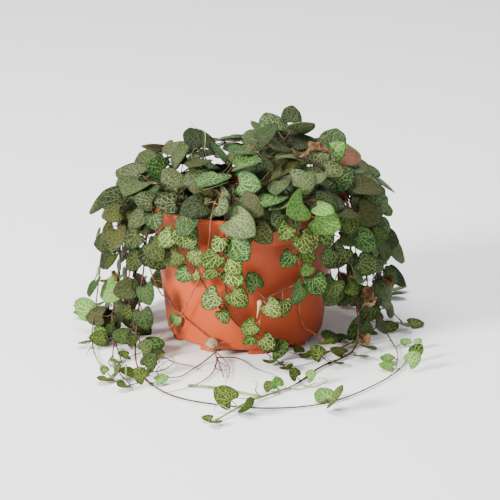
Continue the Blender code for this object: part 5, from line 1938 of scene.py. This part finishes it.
def dried_skin():
    """A dried leaf: tan to brown, creased all over."""
    skin = Finish("dried_skin", 0.8, 0.1)
    place = skin.move(skin.stored("blade"), skin.grow(skin.stored("leaf_draw"), DRY_SHIFT))
    tone = skin.mix(skin.patches(place, *DRY_PATCHES), DRY_LIGHT, DRY_DARK)
    creases = skin.step(skin.cracks(place, CREASE_CELL), *CREASE_LINE)
    skin.bump(skin.plus(creases, skin.noise(place, *DRY_GRAIN)), DRY_RELIEF)
    return skin.colour(tone)


leaf_finishes = [netted, underside_skin(), dried_skin()]
print("finishes of the leaves:", [finish.name for finish in leaf_finishes])

# %% [markdown]
# ## Leaves that stand out
#
# Some leaves catch the eye: clear green ones, dark ones, olive and pinkish ones, and dried ones
# that curl up. Each is marked by a place in millimetres, and the leaf nearest to it takes the look.

# %% Marked leaves
MARKED_LEAVES = {
    "vivid": [
        (52, -1, 109), (60, 32, 104), (44, -60, 93), (30, -64, 95), (45, -57, 84), (36, -47, 53),
        (-81, -10, 29), (-77, -20, 30), (-95, -1, 14), (-88, 6, 33), (63, -30, 3), (44, -120, 3),
        (82, -64, 5), (95, -72, 7), (81, -70, 2)],
    "pink": [(59, 4, 105)],
    "olive": [
        (70, -20, 94), (70, -29, 81), (-28, -19, 109), (-57, -20, 72), (-23, -44, 101),
        (3, -64, 95), (21, -29, 107), (10, -67, 80), (-41, -50, 61), (-88, -10, 12),
        (-72, -87, 6), (80, -17, 9), (67, -53, 3), (54, -45, 3), (-30, 84, 40)],
    "dry": [
        (45, -17, 115), (33, -29, 115), (-78, 20, 26), (-90, 88, 2), (-58, -96, 3), (-69, -31, 8),
        (-72, -33, 5), (62, -34, 40), (84, -9, 32), (73, -27, 29), (69, -41, 7), (40, 88, 60)],
    "pale": [
        (-40, -43, 89), (20, -36, 100), (-3, -71, 87), (-7, -66, 61), (-7, -65, 55),
        (-51, -48, 65), (-87, 5, 56), (-68, -30, 21), (-58, -99, 7), (-11, -137, 9)],
    "emerald": [
        (-3, -24, 116), (-14, -10, 112), (1, -54, 105), (15, -58, 99), (-50, -17, 105),
        (56, -22, 100), (1, -32, 111), (-19, -49, 108), (-4, -71, 73), (-35, -49, 50),
        (5, -58, 48), (25, -56, 62), (69, -30, 65), (31, -53, 41), (41, -43, 43), (69, 20, 50)],
    "dark": [
        (1, 41, 108), (27, 14, 128), (35, -5, 118), (50, -9, 100), (-28, -59, 94), (45, -52, 93),
        (12, -16, 125), (-27, 1, 118), (-81, -14, 48), (-73, -19, 15), (-54, -78, 8),
        (-61, -27, 12), (85, 3, 56), (90, 7, 31), (92, 62, 3), (58, -35, 33), (36, -52, 3),
        (24, -72, 2), (1, -143, 6), (10, 74, 62)],
}

blade_centres = {}
for name, leaves in grown.items():
    for k, leaf in enumerate(leaves):
        blade_centres[name, k] = leaf[0] @ Vector((BLADE_CENTRE * leaf[1], 0, 0))
marked = {}
for kind, kind_places in MARKED_LEAVES.items():
    for place in kind_places:
        free = [key for key in blade_centres if key not in marked]
        nearest = min(free, key=lambda key: (blade_centres[key] - Vector(place) * MM).length)
        marked[nearest] = kind
print("marked leaves:", len(marked))

# %% Make the blades of every stem
DRY_WAVES = 5.0
DRY_LENGTH = 0.62
DRY_CURL = 0.9


def dried(leaf):
    """The same leaf shrunk and curled up, as when it has dried on the stem."""
    placing, length, cup, droop, petiole = leaf
    return placing, DRY_LENGTH * length, cup + DRY_CURL, droop, petiole


def store(mesh, name, kind, values):
    """Stores a list of values with the points of a mesh."""
    attribute = mesh.attributes.new(name, kind, "POINT")
    field = "color" if kind == "FLOAT_COLOR" else "vector"
    attribute.data.foreach_set(field, np.asarray(values, dtype=np.float32).ravel())


def leaf_piece(stem, leaves):
    """One piece with all the blades of a stem, each with its own look."""
    count = len(flat_blade) * 2 - len(rim)
    points, faces, slots, on_blade, draws, flesh, net = [], [], [], [], [], [], []
    for k, leaf in enumerate(leaves):
        draw = random.Random(f"{stem} look {k}")
        kind, flesh_tone, net_tone = leaf_look(leaf, draw, marked.get((stem, k)))
        if kind == DRY:
            own_points, own_places = fine_blade(dried(leaf), draw, DRY_WAVES)
        else:
            own_points, own_places = fine_blade(leaf, draw)
        first = k * count
        points.append(own_points)
        on_blade.append(own_places)
        faces += [tuple(first + corner for corner in face) for face in UPPER + LOWER]
        slots += [kind] * len(UPPER) + [DRY if kind == DRY else UNDERSIDE] * len(LOWER)
        draws += [(draw.random(), draw.random(), draw.random())] * count
        flesh += [(*flesh_tone, 1)] * count
        net += [(*net_tone, 1)] * count
    mesh = bpy.data.meshes.new(stem + "_leaves")
    mesh.from_pydata(np.concatenate(points).tolist(), [], faces)
    store(mesh, "blade", "FLOAT_VECTOR", np.concatenate(on_blade))
    store(mesh, "leaf_draw", "FLOAT_VECTOR", draws)
    store(mesh, "flesh", "FLOAT_COLOR", flesh)
    store(mesh, "net", "FLOAT_COLOR", net)
    piece = link_mesh(stem + "_leaves", mesh, *leaf_finishes)
    mesh.polygons.foreach_set("material_index", slots)
    mesh.shade_smooth()
    return piece


for name, leaves in grown.items():
    piece = leaf_piece(name, leaves)
    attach(piece, "root")
    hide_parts(name)
print("leaves made:", len(blade_centres))

# %% [markdown]
# ## Tubers and buds
#
# String of hearts stores water in bead-like tubers that form on its stems, cream when young and tan
# with a brown net when old. A ball would look turned on a lathe, so the bead is an icosphere pushed
# about by noise and flattened a little, with a few thin roots that feel about for soil.

# %% Tuber finish
TUBER_CREAM = (0.40, 0.29, 0.17, 1)
TUBER_TAN = (0.19, 0.10, 0.05, 1)
BARK_BEND = (1.4, 3)
BARK_BEND_REACH = 1.1
BARK_CELL = 1.5
BARK_LINE = (0.16, 0.03)
BARK_LINE_SHARE = 0.75
BARK_PATCHES = (3.5, 3, 0.40, 0.62)
BARK_GRAIN = (0.5, 3)
BARK_RELIEF = 0.0003


def tuber_finish():
    """Cream skin with a tan net and darker scabs."""
    bark = Finish("tuber_skin", 0.7, 0.25)
    place = bark.place()
    bent = bark.move(place, bark.grow(bark.noise(place, *BARK_BEND, 1), BARK_BEND_REACH))
    net = {"Vector": bent, "Scale": 1 / BARK_CELL}
    edges = bark.add("TexVoronoi", net, feature="DISTANCE_TO_EDGE")
    tone = bark.mix(bark.patches(place, *BARK_PATCHES), TUBER_CREAM, TUBER_TAN)
    lines = bark.times(bark.step(edges, *BARK_LINE), BARK_LINE_SHARE)
    tone = bark.mix(lines, tone, TUBER_TAN)
    bark.bump(bark.plus(edges, bark.noise(place, *BARK_GRAIN)), BARK_RELIEF)
    return bark.colour(tone)


tuber_skin = tuber_finish()
print("nodes in the tuber's skin:", len(tuber_skin.node_tree.nodes))

# %% Roots of a bead
ROOTS_OF_BEAD = 5
ROOT_LENGTHS = (0.3, 1.5)
ROOT_SLOPES = (-1.2, 0.1)
ROOT_ARCH = 0.1
ROOT_START = 0.8
ROOT_RADII = (0.000300, 0.000099)


def bead_roots(name, centre, radius):
    """Thin roots that hang and curl from a bead's underside, as lines with radii."""
    draw = random.Random(f"{name} roots {radius}")
    found = []
    for _ in range(ROOTS_OF_BEAD):
        way = Vector((draw.gauss(0, 1), draw.gauss(0, 1), draw.uniform(*ROOT_SLOPES))).normalized()
        reach = radius * (1 + draw.uniform(*ROOT_LENGTHS))
        middle = centre + way * mix(radius, reach, 0.5) + Vector((0, 0, ROOT_ARCH * radius))
        end = clear_of_pot(centre + way * reach)
        line = smooth_curve([centre + way * ROOT_START * radius, clear_of_pot(middle), end], 4)
        found.append((0, tapered(line, *ROOT_RADII)))
    return found


print("roots of each bead:", ROOTS_OF_BEAD)

# %% Beads on the stems
BEAD_LUMPS = 0.10
LUMP_SIZE = 0.8
LUMP_SHIFT = 300

for name in TUBERS:
    roots = []
    shape = bmesh.new()
    for centre, radius in tuber_balls(name, routes[name]):
        ball = bmesh.ops.create_icosphere(shape, subdivisions=5, radius=radius)["verts"]
        for vertex in ball:
            spot = vertex.co / (LUMP_SIZE * radius) + centre * LUMP_SHIFT
            vertex.co *= 1 - BEAD_LUMPS * abs(noise.fractal(spot, 1.0, 2.0, 3))
            vertex.co.z *= TUBER_FLATNESS
        bmesh.ops.translate(shape, vec=centre, verts=ball)
        roots += bead_roots(name, centre, radius)
    mesh = mesh_of(name + "_tuber", shape)
    mesh.shade_smooth()
    bead = link_mesh(name + "_tuber", mesh, tuber_skin)
    for piece in (bead, threads(name + "_roots", roots, [tuber_skin])):
        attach(piece, "root")
        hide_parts(name)
print("stems with beads:", list(TUBERS))

# %% Pointed buds
BUD_FORM = ((0.0, 0.25), (0.12, 0.85), (0.25, 1.0), (0.5, 0.62), (0.75, 0.28), (1.0, 0.03))
BUD_CREAM = (0.60, 0.36, 0.18, 1)
BUD_GREEN = (0.34, 0.34, 0.13, 1)
PETAL_STRETCH = (1, 1, 0.15)
PETAL_STREAKS = (1.2, 2, 0.4, 0.65)
PETAL_GRAIN = (0.5, 2)
PETAL_RELIEF = 0.0001


def bud_finish():
    """Cream petals with greenish streaks."""
    petal = Finish("bud_petals", 0.55, 0.3)
    place = petal.place()
    along_bud = petal.stretch(place, PETAL_STRETCH)
    tone = petal.mix(petal.patches(along_bud, *PETAL_STREAKS), BUD_CREAM, BUD_GREEN)
    petal.bump(petal.noise(along_bud, *PETAL_GRAIN), PETAL_RELIEF)
    return petal.colour(tone)


petals = bud_finish()
form_shares, form_widths = zip(*BUD_FORM)
for name in BUDS:
    lines = []
    for start, end in bud_ends(name, routes[name]):
        line = smooth_curve([start.lerp(end, share) for share in form_shares], 3)
        shares = [k / (len(line) - 1) for k in range(len(line))]
        widths = np.interp(shares, form_shares, form_widths)
        lines.append((0, [(point, BUD_RADIUS * width) for point, width in zip(line, widths)]))
    piece = threads(name + "_bud", lines, [petals])
    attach(piece, "root")
    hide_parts(name)
print("buds:", sum(len(ends) for ends in BUDS.values()))

# %% [markdown]
# ## The studio
#
# The photo shows a plant on a pale sweep, lit softly from the front left, so that the pot's left
# side glows orange and its right side falls to a dark red-brown. A large area light does that, a
# weaker one opens the shadows, and the pale world fills the rest.
# The pot's finish also paints shade on its right side.

# %% Floor
FLOOR_SIZE = 8.0
FLOOR_DROP = 0.0002
FLOOR_TONE = (0.90, 0.90, 0.89, 1)
FLOOR_SHADE = (0.8, 0.8, 0.8, 1)
FLOOR_GRAIN = (40, 2)
GRAIN_SHARE = 0.03

floor_shape = bmesh.new()
bmesh.ops.create_grid(floor_shape, x_segments=2, y_segments=2, size=FLOOR_SIZE / 2)
paper = Finish("studio_paper", 0.9, 0.1)
grain = paper.times(paper.noise(paper.place(), *FLOOR_GRAIN), GRAIN_SHARE)
paper_finish = paper.colour(paper.mix(grain, FLOOR_TONE, FLOOR_SHADE))
studio_floor = link_mesh("studio_floor", mesh_of("studio_floor", floor_shape), paper_finish)
studio_floor.location.z = -FLOOR_DROP
studio_floor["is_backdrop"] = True
print("floor size in m:", FLOOR_SIZE)

# %% Lights
# Each light: place, size in metres, power in watts and colour
LIGHTS = {
    "key": ((-1.5, -1.05, 0.8), 0.6, 116, (1.0, 0.97, 0.93)),
    "top": ((-0.3, 0.1, 1.7), 1.2, 42, (1.0, 1.0, 1.0)),
    "fill": ((1.4, -1.0, 0.6), 1.2, 3, (0.93, 0.97, 1.0)),
}
LIGHT_AIM = Vector((0, 0, 0.05))
WORLD_TONE = (0.95, 0.97, 1.0, 1)
WORLD_STRENGTH = 0.72

for name, (place, size, power, tone) in LIGHTS.items():
    lamp = bpy.data.lights.new(name, "AREA")
    lamp.shape = "DISK"
    lamp.size = size
    lamp.energy = power
    lamp.color = tone
    carrier = bpy.data.objects.new(name + "_light", lamp)
    carrier.location = place
    carrier.rotation_euler = (LIGHT_AIM - Vector(place)).to_track_quat("-Z", "Y").to_euler()
    bpy.context.scene.collection.objects.link(carrier)
world = bpy.data.worlds.new("studio")
world.use_nodes = True
background = world.node_tree.nodes["Background"]
background.inputs["Color"].default_value = WORLD_TONE
background.inputs["Strength"].default_value = WORLD_STRENGTH
bpy.context.scene.world = world
print("lights:", list(LIGHTS))

# %% The size of the dressed plant
dressed_box = [list(corner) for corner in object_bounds()]
dressed_size = [round((high - low) / MM, 1) for low, high in zip(*dressed_box)]
print("size of the dressed plant in mm:", dressed_size)
